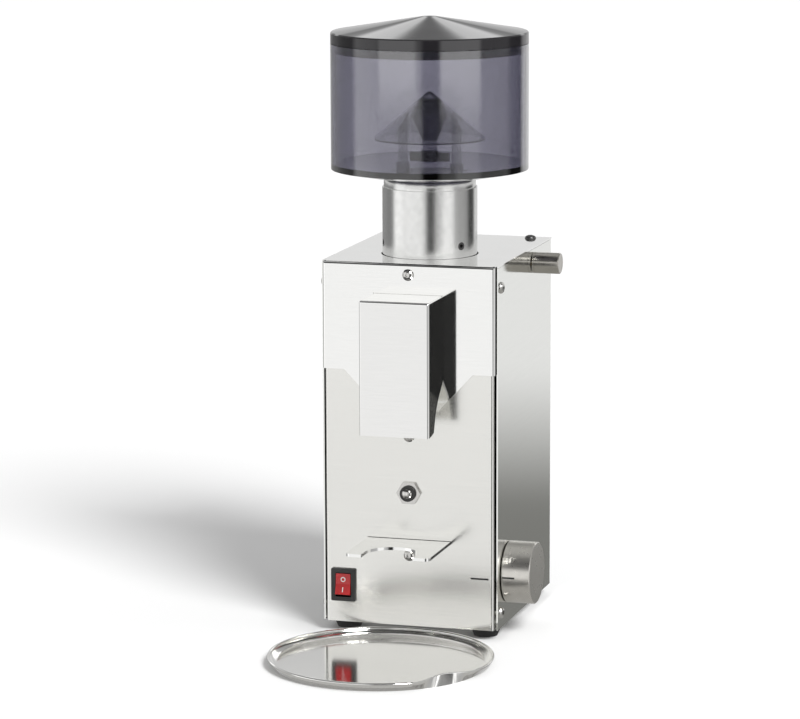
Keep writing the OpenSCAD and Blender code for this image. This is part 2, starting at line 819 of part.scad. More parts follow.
// Case fasteners
module case_screws() {
    color("silver") {
        side_screw_spots(low_screw_z, 0) button_screw(case_screw_l);
        side_screw_spots(high_screw_z, 0) button_screw(case_screw_l);
        rear_screw_spots(0) button_screw(case_screw_l);
        front_screw_spot(hood_screw_z, 0) button_screw(case_screw_l);
        front_screw_spot(panel_screw_z, layer(1)) button_screw(case_screw_l);
        front_screw_spot(fork_screw_z, layer(1)) button_screw(case_screw_l);
    }
}
module top_screws() { color("dimgray") top_screw_spots(0) button_screw(case_screw_l); }
module clinch_nut() { translate([0, 0, -clinch_h]) pipe(clinch_r, screw_r + screw_gap, 0, clinch_h); }
module clinch_nuts() {
    color("gray") {
        side_screw_spots(low_screw_z, layer(3) + sheet) clinch_nut();
        side_screw_spots(high_screw_z, layer(1) + sheet) clinch_nut();
        rear_screw_spots(layer(1) + sheet) clinch_nut();
        top_screw_spots(layer(1) + sheet) clinch_nut();
        front_screw_spot(fork_screw_z, layer(2) + fork_t) clinch_nut();
    }
}

// Chute cover: folded sheet, open below, with flanges behind the hood
module chute_cover() {
    half = chute_w / 2;
    cover_y = front_y - chute_reach;
    flange_y = front_y + layer(1);
    drop = chute_window_z - chute_bottom_z;
    color("whitesmoke") {
        difference() {
            rounded_block(-half, half, cover_y, flange_y + sheet + cover_bend_r, chute_bottom_z, chute_top_z,
                cover_bend_r);
            rounded_block(-half + sheet, half - sheet, cover_y + sheet, flange_y + 2 * cover_bend_r + sheet,
                chute_bottom_z - over, chute_top_z - sheet, cover_bend_r - sheet);
            block(-half - over, half + over, flange_y + sheet, flange_y + 3 * cover_bend_r,
                chute_bottom_z - over, chute_top_z + over);
            slab_yz(-half - over, half + over) polygon(concat([for (s = cover_profile_shares)
                [front_y - chute_reach * s[0], chute_bottom_z + drop * s[1]]],
                [[cover_y, chute_bottom_z - over], [back_y, chute_bottom_z - over],
                [back_y, chute_window_z]]));
        }
        difference() {
            block(-half - cover_flange_w, half + cover_flange_w, flange_y, flange_y + sheet,
                chute_window_z, chute_top_z + cover_flange_w);
            block(-half + sheet, half - sheet, flange_y - over, flange_y + 2 * sheet,
                chute_window_z - over, chute_top_z - sheet);
        }
    }
}

// Duct: plate behind the front, which the hood and the panel are screwed to, and the
// passage from the grinding chamber into the cover
module chute_duct() {
    plate_y = front_y + layer(2);
    mouth_y = front_y - hood_roof_reach;
    half = outlet_half_w + duct_wall;
    z0 = outlet_z0 - duct_wall;
    passage_top = outlet_z0 + outlet_h;
    z1 = passage_top + duct_wall;
    chamber_out_r = carrier_r + chamber_wall;
    color("darkgray") difference() {
        union() {
            block(-duct_plate_half_w, duct_plate_half_w, plate_y, plate_y + duct_plate_t, duct_plate_z0,
                top_z - 2 * sheet - free_gap);
            block(-half, half, mouth_y, -chamber_out_r / 2, z0, z1);
            front_screw_spot(hood_screw_z, layer(1)) translate([0, 0, -layer(1)])
                cylinder(h = layer(1) - lap, r = duct_boss_r);
        }
        block(-outlet_half_w, outlet_half_w, mouth_y + duct_wall, 0, outlet_z0, passage_top);
        block(-half - over, half + over, mouth_y - over, front_y - over, z0 - over, outlet_z0 + outlet_h / 3);
        bore(chamber_out_r + lap, z0, z1);
        for (z = [hood_screw_z, panel_screw_z])
            front_screw_spot(z, 0) rod(screw_r + screw_gap, -case_screw_l - over, 0);
    }
}

// Portafilter fork: the plate comes through the panel's slot, its flange is screwed on behind
module portafilter_fork() {
    flange_y = front_y + layer(2);
    tip_y = front_y - fork_reach;
    cut_y = front_y - fork_cut_y;
    half = fork_w / 2;
    color("gainsboro") difference() {
        union() {
            rounded_block(-half, half, tip_y, flange_y + fork_t, fork_z - fork_t, fork_z, fork_tip_r);
            block(-half, half, cut_y, flange_y + fork_t, fork_z - fork_t, fork_z);
            block(-half, half, flange_y, flange_y + fork_t, fork_z - fork_flange_h, fork_z);
        }
        translate([0, cut_y, 0]) rod(fork_cut_r, fork_z - 2 * fork_t, fork_z + over);
        block(-fork_cut_r, fork_cut_r, tip_y - over, cut_y, fork_z - 2 * fork_t, fork_z + over);
        front_screw_spot(fork_screw_z, layer(2)) screw_hole();
    }
}

// Start button: bush and body, nut, spring and plunger
button_inner_y = front_y + layer(2);
button_step_y = button_inner_y + button_step;
button_end_y = button_inner_y + button_body_l;
button_cavity_end_y = button_end_y - 2 * button_step;
button_rest_y = button_step_y + screw_gap + plunger_flange_t;
module button_nut() {
    color("silver") to_front([0, panel_y, button_z])
        hex_nut(button_nut_af, button_bush_r + screw_gap, button_nut_h);
}
module button_housing() {
    color("dimgray") difference() {
        union() {
            to_back([0, panel_y - button_bush_out, button_z])
                cylinder(h = button_inner_y - panel_y + button_bush_out + over, r = button_bush_r);
            to_back([0, button_inner_y, button_z]) cylinder(h = button_body_l, r = button_body_r);
            for (x = [-terminal_w, terminal_w])
                block(x - terminal_t / 2, x + terminal_t / 2, button_end_y - over, button_end_y + terminal_l,
                    button_z - terminal_w / 2, button_z + terminal_w / 2);
        }
        to_back([0, panel_y - button_bush_out - over, button_z])
            cylinder(h = button_cavity_end_y - panel_y + button_bush_out + over,
                r = plunger_r + plunger_bore_gap);
        to_back([0, button_step_y, button_z]) cylinder(h = button_cavity_end_y - button_step_y,
            r = plunger_flange_r + screw_gap);
    }
}
module button_plunger() {
    dome_y = panel_y - button_dome_out;
    color("silver") to_back([0, dome_y, button_z]) rotate_extrude() polygon(concat([[0, 0]],
        [for (a = [15 : 15 : 90]) [plunger_r * sin(a), plunger_r * (1 - cos(a)) / 2]],
        [[plunger_r, button_rest_y - plunger_flange_t - dome_y],
        [plunger_flange_r, button_rest_y - plunger_flange_t - dome_y],
        [plunger_flange_r, button_rest_y - dome_y], [0, button_rest_y - dome_y]]));
}
module button_spring() {
    room = button_cavity_end_y - button_rest_y - 2 * (spring_wire_r + screw_gap);
    section = [for (a = [300 : -60 : 0]) [spring_r + spring_wire_r * cos(a), spring_wire_r * sin(a)]];
    angles = [for (k = [0 : spring_turns * spring_steps]) k * 360 / spring_steps];
    color("silver") to_back([0, button_rest_y + spring_wire_r + screw_gap, button_z])
        polyhedron(wire_points(section, room / spring_turns, angles),
            sweep_faces(len(section), len(angles)), convexity = 6);
}

// Rocker switch: housing with its bezel, and the rocker on two pins, its upper half pressed in
switch_body_half_w = bezel_w / 2 - switch_body_margin;
switch_body_half_h = bezel_h / 2 - switch_body_margin;
switch_pivot_y = panel_y + rocker_pivot_back;
module switch_housing() {
    cavity_y = switch_pivot_y + rocker_back + sheet;
    pin_reach = window_half_w + rocker_pin_l + screw_gap;
    color("black") translate([-switch_x, 0, switch_z]) difference() {
        union() {
            slab_xz(panel_y - bezel_out, panel_y) {
                square([bezel_w - 2 * bezel_corner_r, bezel_h], center = true);
                square([bezel_w, bezel_h - 2 * bezel_corner_r], center = true);
                for (x = [-1, 1], z = [-1, 1])
                    translate([x * (bezel_w / 2 - bezel_corner_r), z * (bezel_h / 2 - bezel_corner_r)])
                        circle(r = bezel_corner_r);
            }
            block(-switch_body_half_w, switch_body_half_w, panel_y - over, panel_y + switch_depth,
                -switch_body_half_h, switch_body_half_h);
            for (z = [-window_half_w, 0, window_half_w])
                block(-terminal_w, terminal_w, panel_y + switch_depth - over,
                    panel_y + switch_depth + terminal_l, z - terminal_t / 2, z + terminal_t / 2);
        }
        block(-window_half_w, window_half_w, panel_y - bezel_out - over, cavity_y, -window_half_h,
            window_half_h);
        to_right([0, switch_pivot_y, 0]) rod(rocker_pin_r + run_gap, -pin_reach, pin_reach);
    }
}
module rocker() {
    color("red") translate([-switch_x, switch_pivot_y, switch_z]) rotate([-rocker_swing / 2, 0, 0]) {
        slab_yz(-rocker_half_w, rocker_half_w) polygon([[-rocker_front, rocker_half_h],
            [-rocker_front + rocker_dip, 0], [-rocker_front, -rocker_half_h], [0, -rocker_half_h],
            [rocker_back, -rocker_half_h / 2], [rocker_back, rocker_half_h / 2], [0, rocker_half_h]]);
        to_right([-rocker_half_w - rocker_pin_l, 0, 0])
            cylinder(h = 2 * (rocker_half_w + rocker_pin_l), r = rocker_pin_r);
    }
}

// Timer: potentiometer in the side wall, its nut and shaft, and the knob with its grub screw
pot_face_x = half_w - sheet;
timer_knob_x = half_w + knob_gap;
module timer_pot() {
    color("darkseagreen") difference() {
        union() {
            to_right([pot_face_x - pot_body_l, timer_y, timer_z]) cylinder(h = pot_body_l, r = pot_body_r);
            to_right([pot_face_x - over, timer_y, timer_z]) cylinder(h = pot_bush_l + over, r = pot_bush_r);
            for (y = [timer_y - pot_bush_r, timer_y, timer_y + pot_bush_r])
                block(pot_face_x - pot_body_l / 2, pot_face_x - pot_body_l / 2 + terminal_t,
                    y - terminal_w / 4, y + terminal_w / 4, timer_z - pot_body_r - terminal_l / 2,
                    timer_z - pot_body_r / 2);
        }
        to_right([pot_face_x - pot_body_l + sheet, timer_y, timer_z])
            cylinder(h = pot_body_l + pot_bush_l + over, r = timer_shaft_r + run_gap);
    }
}
module timer_pot_nut() {
    color("silver") to_right([half_w, timer_y, timer_z])
        hex_nut(pot_nut_af, pot_bush_r + screw_gap, pot_nut_h);
}
module timer_shaft() {
    start = pot_face_x - pot_body_l + sheet + screw_gap;
    color("silver") to_right([start, timer_y, timer_z])
        cylinder(h = timer_knob_x + timer_shaft_l - start, r = timer_shaft_r);
}
module timer_knob() {
    color("lightgray") difference() {
        to_right([timer_knob_x, timer_y, timer_z]) rotate_extrude() polygon([[0, 0],
            [timer_knob_r - knob_edge, 0], [timer_knob_r, knob_edge],
            [timer_knob_r, timer_knob_l - knob_edge], [timer_knob_r - knob_edge, timer_knob_l],
            [0, timer_knob_l]]);
        to_right([timer_knob_x, timer_y, timer_z]) {
            rod(knob_recess_r, -over, knob_recess_h);
            rod(timer_shaft_r + run_gap, 0, timer_shaft_l + free_gap);
        }
        translate([timer_knob_x + timer_shaft_l - grub_r - sheet, timer_y, timer_z - timer_knob_r - over])
            cylinder(h = timer_knob_r + over, r = grub_r + screw_gap);
    }
}
module timer_knob_screw() {
    color("dimgray") translate([timer_knob_x + timer_shaft_l - grub_r - sheet, timer_y,
        timer_z - timer_shaft_r - run_gap]) rotate([180, 0, 0]) grub_screw(grub_r, grub_l);
}

// Adjusting knob on the worm's shaft
adjust_knob_x = half_w + knob_gap;
adjust_bore_l = adjust_knob_l - 3 * sheet;
adjust_grub_l = adjust_knob_r - worm_shaft_r - sheet / 2;
module adjusting_knob() {
    color("gray") difference() {
        to_right([adjust_knob_x, worm_y, worm_z]) rotate_extrude() polygon([[0, 0],
            [adjust_knob_r, 0], [adjust_knob_r, 2 * knob_edge],
            [adjust_knob_r - knob_edge / 2, 2 * knob_edge], [adjust_knob_r - knob_edge / 2, 3 * knob_edge],
            [adjust_knob_r, 3 * knob_edge], [adjust_knob_r, adjust_knob_l - knob_edge],
            [adjust_knob_r - knob_edge, adjust_knob_l], [0, adjust_knob_l]]);
        to_right([adjust_knob_x - over, worm_y, worm_z])
            cylinder(h = adjust_bore_l + over + free_gap, r = worm_shaft_r + run_gap);
        translate([adjust_knob_x + adjust_bore_l / 2, worm_y, worm_z - adjust_knob_r - over])
            cylinder(h = adjust_knob_r + over, r = grub_r + screw_gap);
    }
}
module adjusting_knob_screw() {
    color("dimgray") translate([adjust_knob_x + adjust_bore_l / 2, worm_y, worm_z - worm_shaft_r - run_gap])
        rotate([180, 0, 0]) grub_screw(grub_r, adjust_grub_l);
}

// Worm: one right-hand thread, cut through to both ends of its blank, on the knob's shaft
tooth_half = (PI * gear_module - backlash) / 4;
flank_slope = tan(pressure_angle);
tip_half = tooth_half - gear_module * flank_slope;
root_half = tooth_half + root_depth_share * gear_module * flank_slope;
module worm() {
    tip_turn = tip_half / worm_lead * 360;
    root_turn = root_half / worm_lead * 360;
    outline = [for (a = [-tip_turn : tip_turn : tip_turn]) worm_tip_r * [cos(a), sin(a)],
        for (k = [0 : worm_root_steps]) let (a = root_turn + k * (360 - 2 * root_turn) / worm_root_steps)
            worm_root_r * [cos(a), sin(a)]];
    angles = [for (k = [0 : worm_turns * worm_steps]) (k / worm_steps - worm_turns / 2) * 360];
    color("goldenrod") to_right([0, worm_y, worm_z]) {
        rod(worm_shaft_r, -bracket_half_w - 2 * sheet, adjust_knob_x + adjust_bore_l);
        rod(worm_collar_r, -ear_gap + free_gap, ear_gap - free_gap);
        rotate([0, 0, 270]) polyhedron(thread_points(outline, worm_lead, angles),
            sweep_faces(len(outline), len(angles)), convexity = 10);
    }
}

// Worm bracket: angle plate on the chassis with two bored ears
module worm_bracket() {
    color("slategray") difference() {
        union() {
            block(-bracket_half_w, bracket_half_w, bracket_back_y - bracket_t, bracket_back_y, chassis_z,
                worm_z + ear_half_h);
            block(-bracket_half_w, bracket_half_w, bracket_back_y - bracket_t,
                bracket_back_y + bracket_foot_d, chassis_z, chassis_z + bracket_t);
            both_sides() block(ear_gap, ear_gap + ear_t, worm_y - ear_wall, bracket_back_y - over,
                worm_z - ear_half_h, worm_z + ear_half_h);
        }
        to_right([-bracket_half_w - over, worm_y, worm_z])
            cylinder(h = 2 * (bracket_half_w + over), r = worm_shaft_r + run_gap);
        bracket_screw_spots() bore(screw_hole_r, chassis_z, chassis_z + bracket_t);
    }
}
module worm_bracket_screws() {
    color("gray") bracket_screw_spots() translate([0, 0, chassis_z + bracket_t])
        button_screw(bracket_screw_l);
}

// Adjusting ring: worm wheel whose teeth lean by the worm's lead angle
module adjusting_ring() {
    step = 360 / ring_teeth;
    lean = ring_face_w * tan(worm_lead_angle) / ring_pitch_r * 180 / PI;
    tooth = [[ring_root_r, -root_half], [ring_tip_r, -tip_half], [ring_tip_r, tip_half],
        [ring_root_r, root_half]];
    color("goldenrod") difference() {
        translate([0, 0, ring_z0]) rotate([0, 0, -lean / 2])
            linear_extrude(height = ring_face_w, twist = -lean, slices = 2, convexity = 10)
                polygon([for (k = [1 : ring_teeth], p = tooth)
                    let (a = 90 + (k - 1 / 2) * step + p[1] / p[0] * 180 / PI) p[0] * [cos(a), sin(a)]]);
        bore(carrier_r + run_gap, ring_z0, ring_z1);
    }
}

// Burrs: ring with a bevelled mouth and slanting grooves; back face at z = 0, working face up
module burr_screw_spots() {
    for (k = [0 : burr_screw_count - 1])
        rotate([0, 0, groove_twist + k * 360 / burr_screw_count])
            translate([burr_screw_ring_r, 0, 0]) children();
}
module burr(bore_r) {
    difference() {
        rod(burr_r, 0, burr_t);
        bore(bore_r, 0, burr_t);
        rotate_extrude() polygon([[0, burr_t - burr_mouth_h], [bore_r, burr_t - burr_mouth_h],
            [bore_r + burr_mouth_w, burr_t], [bore_r + burr_mouth_w, burr_t + over], [0, burr_t + over]]);
        for (k = [0 : burr_grooves - 1])
            rotate([0, 0, k * 360 / burr_grooves]) translate([groove_offset, 0, burr_t])
                rotate([groove_rise, 0, 0]) rotate([0, 45, 0])
                    translate([-groove_w / 2, 0, -groove_w / 2]) cube([groove_w, burr_r, groove_w]);
        burr_screw_spots() {
            bore(burr_screw_r + screw_gap, 0, burr_t);
            rod(burr_screw_head_r + screw_gap, burr_t - burr_screw_head_h - sheet, burr_t + over);
        }
    }
}
module burr_screws() {
    burr_screw_spots() difference() {
        union() {
            rod(burr_screw_r, -burr_screw_bite, burr_t - sheet);
            rod(burr_screw_head_r, burr_t - burr_screw_head_h - sheet, burr_t - sheet);
        }
        translate([0, 0, burr_t - sheet - grub_socket_h / 2])
            cylinder(h = grub_socket_h, r = burr_screw_r, $fn = 6);
    }
}
module lower_burr() { color("dimgray") translate([0, 0, burr_z0]) burr(lower_burr_bore_r); }
module lower_burr_screws() { color("silver") translate([0, 0, burr_z0]) burr_screws(); }
module upper_burr() {
    color("dimgray") translate([0, 0, burr_top_z]) mirror([0, 0, 1]) burr(burr_bore_r);
}
module upper_burr_screws() {
    color("silver") translate([0, 0, burr_top_z]) mirror([0, 0, 1]) burr_screws();
}

// Burr carrier: threaded plug that turns in the chamber, with a funnel and the neck's spigot
module burr_carrier() {
    hole_r = burr_bore_r - screw_gap;
    inner_r = spigot_r - spigot_wall;
    color("silver") difference() {
        rotate_extrude() polygon([[hole_r, burr_top_z], [carrier_r, burr_top_z], [carrier_r, carrier_top_z],
            [spigot_r, carrier_top_z], [spigot_r, carrier_top_z + spigot_h],
            [inner_r, carrier_top_z + spigot_h], [inner_r, burr_top_z + 3 * funnel_h],
            [hole_r, burr_top_z + funnel_h]]);
        translate([0, 0, burr_top_z]) mirror([0, 0, 1]) burr_screw_spots()
            rod(burr_screw_r + screw_gap, -burr_screw_bite - sheet, over);
    }
}

// Neck collar: turned tube with a bevel above a groove, and its three grub screws
neck_grub_l = neck_wall - run_gap;
module neck_screw_spots() {
    for (k = [0 : neck_screw_count - 1])
        rotate([0, 0, neck_screw_turn + k * 360 / neck_screw_count])
            to_right([0, 0, neck_screw_z]) children();
}
module neck_collar() {
    groove_z = neck_top_z - neck_bevel_h;
    color("silver") difference() {
        rotate_extrude() polygon([[neck_bore_r, carrier_top_z], [neck_r, carrier_top_z],
            [neck_r, groove_z - neck_groove_w], [neck_r - neck_groove_d, groove_z - neck_groove_w],
            [neck_r - neck_groove_d, groove_z], [neck_r, groove_z],
            [neck_r - neck_bevel_w, neck_top_z], [neck_bore_r, neck_top_z]]);
        neck_screw_spots() cylinder(h = neck_r + over, r = neck_screw_r + screw_gap);
    }
}
module neck_screws() {
    color("dimgray") neck_screw_spots() translate([0, 0, neck_bore_r]) grub_screw(neck_screw_r, neck_grub_l);
}

// Hopper: smoked body of revolution with a sloping floor, a spout and two guard sockets
module leg_spots() { both_sides() translate([leg_x, 0, 0]) children(); }
module hopper() {
    inner_r = hopper_r - hopper_wall;
    seat_z = neck_top_z + seat_rise;
    rim_floor_z = hopper_bottom_z + floor_t;
    throat_z = rim_floor_z - floor_fall;
    spout_r = throat_r + spout_wall;
    color([0.3, 0.28, 0.34, 0.6]) difference() {
        union() {
            rotate_extrude() polygon([[throat_r, neck_top_z - spout_h], [spout_r, neck_top_z - spout_h],
                [spout_r, seat_z - spout_wall], [locator_r - locator_wall, seat_z - spout_wall],
                [locator_r - locator_wall, neck_top_z - locator_h], [locator_r, neck_top_z - locator_h],
                [locator_r, seat_z], [seat_r, seat_z], [hopper_r, hopper_bottom_z],
                [hopper_r, hopper_rim_z], [inner_r, hopper_rim_z], [inner_r, rim_floor_z],
                [throat_r, throat_z]]);
            leg_spots() rod(socket_r, throat_z, throat_z + socket_h);
        }
        leg_spots() rod(pin_r + screw_gap, throat_z + 2 * sheet, throat_z + 2 * socket_h);
    }
}

// Bean guard: hollow cone on two legs, with a tapering stem in the middle
guard_base_z = guard_apex_z - guard_rise;
socket_top_z = hopper_bottom_z + floor_t - floor_fall + socket_h;
stem_top_z = guard_apex_z - stem_top_drop;
stem_bottom_z = stem_top_z - stem_h;
module guard_cone(inset) {
    rotate_extrude() polygon([[0, guard_base_z - over], [guard_r, guard_base_z - over],
        [guard_r, guard_base_z - inset], [guard_tip_r, guard_apex_z - guard_tip_r / 2 - inset],
        [guard_tip_r / 2, guard_apex_z - guard_tip_r / 6 - inset], [0, guard_apex_z - inset]]);
}
module bean_guard() {
    slant = guard_wall * sqrt(guard_r * guard_r + guard_rise * guard_rise) / guard_r;
    color([0.3, 0.28, 0.34, 0.8]) {
        difference() {
            intersection() {
                guard_cone(0);
                rod(guard_r, guard_base_z - guard_brim_h, guard_apex_z);
            }
            guard_cone(slant);
        }
        rotate_extrude() polygon([for (s = stem_profile_shares) [s[0] * stem_r, stem_top_z - s[1] * stem_h]]);
        rod(stem_tip_r, stem_bottom_z - stem_tip_h, stem_bottom_z + over);
        intersection() {
            leg_spots() rod(leg_r, guard_base_z, guard_apex_z);
            guard_cone(guard_wall / 2);
        }
        leg_spots() {
            rod(leg_r, socket_top_z + screw_gap, guard_base_z + over);
            rod(pin_r, socket_top_z - socket_h + 3 * sheet, socket_top_z + over);
        }
    }
}
module guard_nut() {
    color([0.25, 0.24, 0.28]) difference() {
        translate([0, 0, stem_bottom_z - nut_h]) union() {
            rod(nut_hub_r, 0, nut_h);
            block(-nut_wing_l, nut_wing_l, -nut_wing_t / 2, nut_wing_t / 2, 0, nut_h - sheet);
        }
        bore(stem_tip_r + run_gap, stem_bottom_z - nut_h, stem_bottom_z);
    }
}

// Hopper lid: shallow cone with a skirt that meets the hopper's rim and a plug inside it
module hopper_lid() {
    skirt_z = hopper_rim_z + lid_gap;
    edge_z = skirt_z + lid_skirt_h;
    plug_r = hopper_r - hopper_wall - lid_gap;
    color([0.2, 0.19, 0.2, 0.9]) rotate_extrude() polygon([[plug_r, skirt_z], [hopper_r, skirt_z],
        [hopper_r, edge_z - lid_edge_r], [hopper_r - lid_edge_r, edge_z],
        [lid_flat_r, edge_z + lid_rise - lid_edge_r / 2], [0, edge_z + lid_rise],
        [0, edge_z + lid_rise - lid_wall], [lid_flat_r, edge_z + lid_rise - lid_wall - lid_edge_r / 2],
        [plug_r - lid_wall, edge_z - lid_wall], [plug_r - lid_wall, skirt_z - lid_plug_h],
        [plug_r, skirt_z - lid_plug_h]]);
}

// Grinding chamber: cast body with the bore for the carrier and the outlet to the duct
module grinding_chamber() {
    out_r = carrier_r + chamber_wall;
    cavity_z = chassis_z + chamber_floor_h;
    color("darkgray") difference() {
        union() {
            rod(chamber_flange_r, chassis_z, chassis_z + chamber_flange_h);
            rod(out_r, chassis_z, chamber_top_z);
        }
        rod(chamber_r, cavity_z, chamber_top_z + over);
        rod(carrier_r + run_gap, burr_top_z - 2 * sheet, chamber_top_z + over);
        bore(shaft_r + free_gap, chassis_z, cavity_z);
        block(-outlet_half_w, outlet_half_w, -out_r - over, -chamber_r / 2, outlet_z0,
            outlet_z0 + outlet_h);
        motor_bolt_spots()
            rod(screw_r + screw_gap, chassis_z - over, chassis_z + chamber_flange_h - sheet / 2);
    }
}

// Hub: carries the lower burr and sweeps the grounds to the outlet
module burr_hub() {
    color("silver") difference() {
        union() {
            rod(hub_boss_r, hub_z0, hub_top_z);
            rod(burr_r, hub_z0 + hub_boss_h, hub_top_z);
            for (k = [0 : vane_count - 1])
                rotate([0, 0, k * 360 / vane_count]) block(hub_boss_r - over, chamber_r - vane_tip_gap,
                    -vane_w / 2, vane_w / 2, hub_z0, hub_top_z);
        }
        bore(shaft_r - sheet + run_gap, hub_z0, hub_top_z);
        translate([0, 0, hub_top_z]) burr_screw_spots()
            rod(burr_screw_r + screw_gap, -burr_screw_bite - sheet / 2, over);
    }
}

// Feed nut: cap nut on the shaft's end with two slanting vanes that draw the beans in
module feed_nut() {
    vane_z = hub_top_z + feed_vane_lift;
    color("silver") difference() {
        union() {
            rod(feed_nut_r, hub_top_z, hub_top_z + feed_nut_h);
            intersection() {
                for (turn = [0, 180])
                    rotate([0, 0, turn]) translate([feed_nut_r / 2, 0, vane_z + feed_vane_h / 2])
                        rotate([-feed_vane_lean, 0, 0])
                            cube([feed_nut_r * 2, feed_vane_t, feed_vane_h], center = true);
                rod(feed_vane_l, vane_z, vane_z + feed_vane_h);
            }
        }
        rod(shaft_top_r + run_gap, hub_top_z - over, hub_top_z + shaft_top_l + free_gap);
    }
}

// Motor: shaft, rotor, fan, stator, windings, two end bells, bearings and through bolts
module motor_shaft() {
    color("silver") {
        rod(shaft_r, bell_bottom_z - fan_gap - fan_h - over, hub_z0);
        rod(shaft_r - sheet, hub_z0 - over, hub_top_z);
        rod(shaft_top_r, hub_top_z - over, hub_top_z + shaft_top_l);
    }
}
module rotor_core() {
    color("slategray") difference() {
        union() {
            rod(rotor_r, stator_bottom_z, stator_top_z);
            pipe(rotor_r - sheet, rotor_r - sheet - end_ring_w, stator_bottom_z - end_ring_h,
                stator_top_z + end_ring_h);
        }
        bore(shaft_r + run_gap, stator_bottom_z - end_ring_h, stator_top_z + end_ring_h);
    }
}
module cooling_fan() {
    fan_top = bell_bottom_z - fan_gap;
    color("white") difference() {
        union() {
            rod(fan_hub_r, fan_top - fan_h, fan_top);
            rod(fan_r, fan_top - fan_disc_t, fan_top);
            intersection() {
                for (k = [0 : fan_blades - 1])
                    rotate([0, 0, k * 360 / fan_blades]) translate([fan_hub_r - over, 0, 0])
                        rotate([0, 0, fan_blade_lean]) block(0, fan_r, -fan_blade_t / 2, fan_blade_t / 2,
                            fan_top - fan_h, fan_top - fan_disc_t / 2);
                rod(fan_r, fan_top - fan_h, fan_top);
            }
        }
        bore(shaft_r + run_gap, fan_top - fan_h, fan_top);
    }
}
module stator_core() {
    bore_r = rotor_r + air_gap;
    color("slategray") difference() {
        rod(stator_r, stator_bottom_z, stator_top_z);
        bore(bore_r, stator_bottom_z, stator_top_z);
        for (k = [0 : stator_slots - 1])
            rotate([0, 0, k * 360 / stator_slots]) {
                block(winding_r0, winding_r0 + slot_depth, -slot_w / 2, slot_w / 2, stator_bottom_z - over,
                    stator_top_z + over);
                block(bore_r - over, winding_r0 + over, -slot_w / 5, slot_w / 5, stator_bottom_z - over,
                    stator_top_z + over);
            }
        motor_bolt_spots() bore(screw_hole_r, stator_bottom_z, stator_top_z);
    }
}
module stator_windings() {
    color("peru") {
        for (k = [0 : stator_slots - 1])
            rotate([0, 0, k * 360 / stator_slots]) block(winding_r0 + winding_gap, winding_r1 - winding_gap,
                winding_gap - slot_w / 2, slot_w / 2 - winding_gap, stator_bottom_z - winding_h / 2,
                stator_top_z + winding_h / 2);
        for (z = [stator_bottom_z - winding_gap - winding_h, stator_top_z + winding_gap])
            translate([0, 0, z]) rotate_extrude() polygon([[winding_r0 + sheet, 0], [winding_r1 - sheet, 0],
                [winding_r1, sheet], [winding_r1, winding_h - 2 * sheet],
                [winding_r1 - 2 * sheet, winding_h], [winding_r0 + 2 * sheet, winding_h],
                [winding_r0, winding_h - 2 * sheet], [winding_r0, sheet]]);
    }
}
module end_bell() {
    pocket_top = bell_h - bearing_drop;
    difference() {
        union() {
            rod(stator_r, bell_h - bell_wall, bell_h);
            pipe(stator_r, stator_r - bell_wall, 0, bell_h);
            rod(bearing_r + bearing_boss_wall, pocket_top - bearing_h, bell_h);
            intersection() {
                motor_bolt_spots() rod(motor_bolt_ear_r, 0, bell_h);
                rod(stator_r, 0, bell_h);
            }
        }
        rod(bearing_r + run_gap, -over, pocket_top);
        rod(shaft_r + free_gap, 0, bell_h + over);
        motor_bolt_spots() bore(screw_hole_r, 0, bell_h);
        for (k = [0 : 3])
            rotate([0, 0, k * 90]) block(stator_r - 2 * bell_wall, stator_r + over, -bearing_r, bearing_r,
                bell_wall, bell_h - 2 * bell_wall);
    }
}
module upper_end_bell() { color("lightgray") translate([0, 0, stator_top_z]) end_bell(); }
module lower_end_bell() {
    color("lightgray") translate([0, 0, stator_bottom_z]) mirror([0, 0, 1]) end_bell();
}
module motor_bearings() {
    color("silver") for (z = [chassis_bottom_z - bearing_drop - bearing_h, bell_bottom_z + bearing_drop])
        pipe(bearing_r, shaft_r + run_gap, z, z + bearing_h);
}
module motor_bolts() {
    color("gray") motor_bolt_spots() {
        rod(screw_r, bell_bottom_z - over, chassis_z + chamber_flange_h - sheet);
        difference() {
            rod(motor_head_r, bell_bottom_z - motor_head_h, bell_bottom_z);
            translate([0, 0, bell_bottom_z - motor_head_h - over])
                cylinder(h = grub_socket_h + over, r = screw_socket_af / sqrt(3), $fn = 6);
        }
    }
}

// Timer board, resting on its posts, with a relay, a transformer, a terminal block and a capacitor
module timer_board() {
    z0 = floor_z + board_post_h;
    z1 = z0 + board_t;
    color("seagreen") difference() {
        block(board_x0, board_x0 + board_w, board_y0, board_y0 + board_d, z0, z1);
        board_post_spots() bore(board_post_r / 2, z0, z1);
    }
    color("navy") for (s = board_box_shares)
        block(board_x0 + board_w * s[0], board_x0 + board_w * s[1], board_y0 + board_d * s[2],
            board_y0 + board_d * s[3], z1, z1 + relay_h * s[4]);
    color("black") translate([board_x0 + board_w * board_can_shares[0],
        board_y0 + board_d * board_can_shares[1], 0]) rod(board_can_r, z1, z1 + relay_h);
}

// Run capacitor, standing on its stud with a nut below the base plate
module run_capacitor() {
    color("whitesmoke") translate([capacitor_x, back_y - capacitor_inset, 0]) {
        rod(capacitor_r, floor_z, floor_z + capacitor_h);
        rod(capacitor_stud_r, bottom_z - foot_nut_h, floor_z + over);
        translate([0, 0, bottom_z - foot_nut_h + lap])
            hex_nut(foot_nut_af + capacitor_stud_r, capacitor_stud_r - over, foot_nut_h - 2 * lap);
        for (x = [-1, 1])
            block(x * capacitor_r / 3 - terminal_t / 2, x * capacitor_r / 3 + terminal_t / 2, -terminal_w,
                terminal_w, floor_z + capacitor_h - over, floor_z + capacitor_h + terminal_l);
    }
}

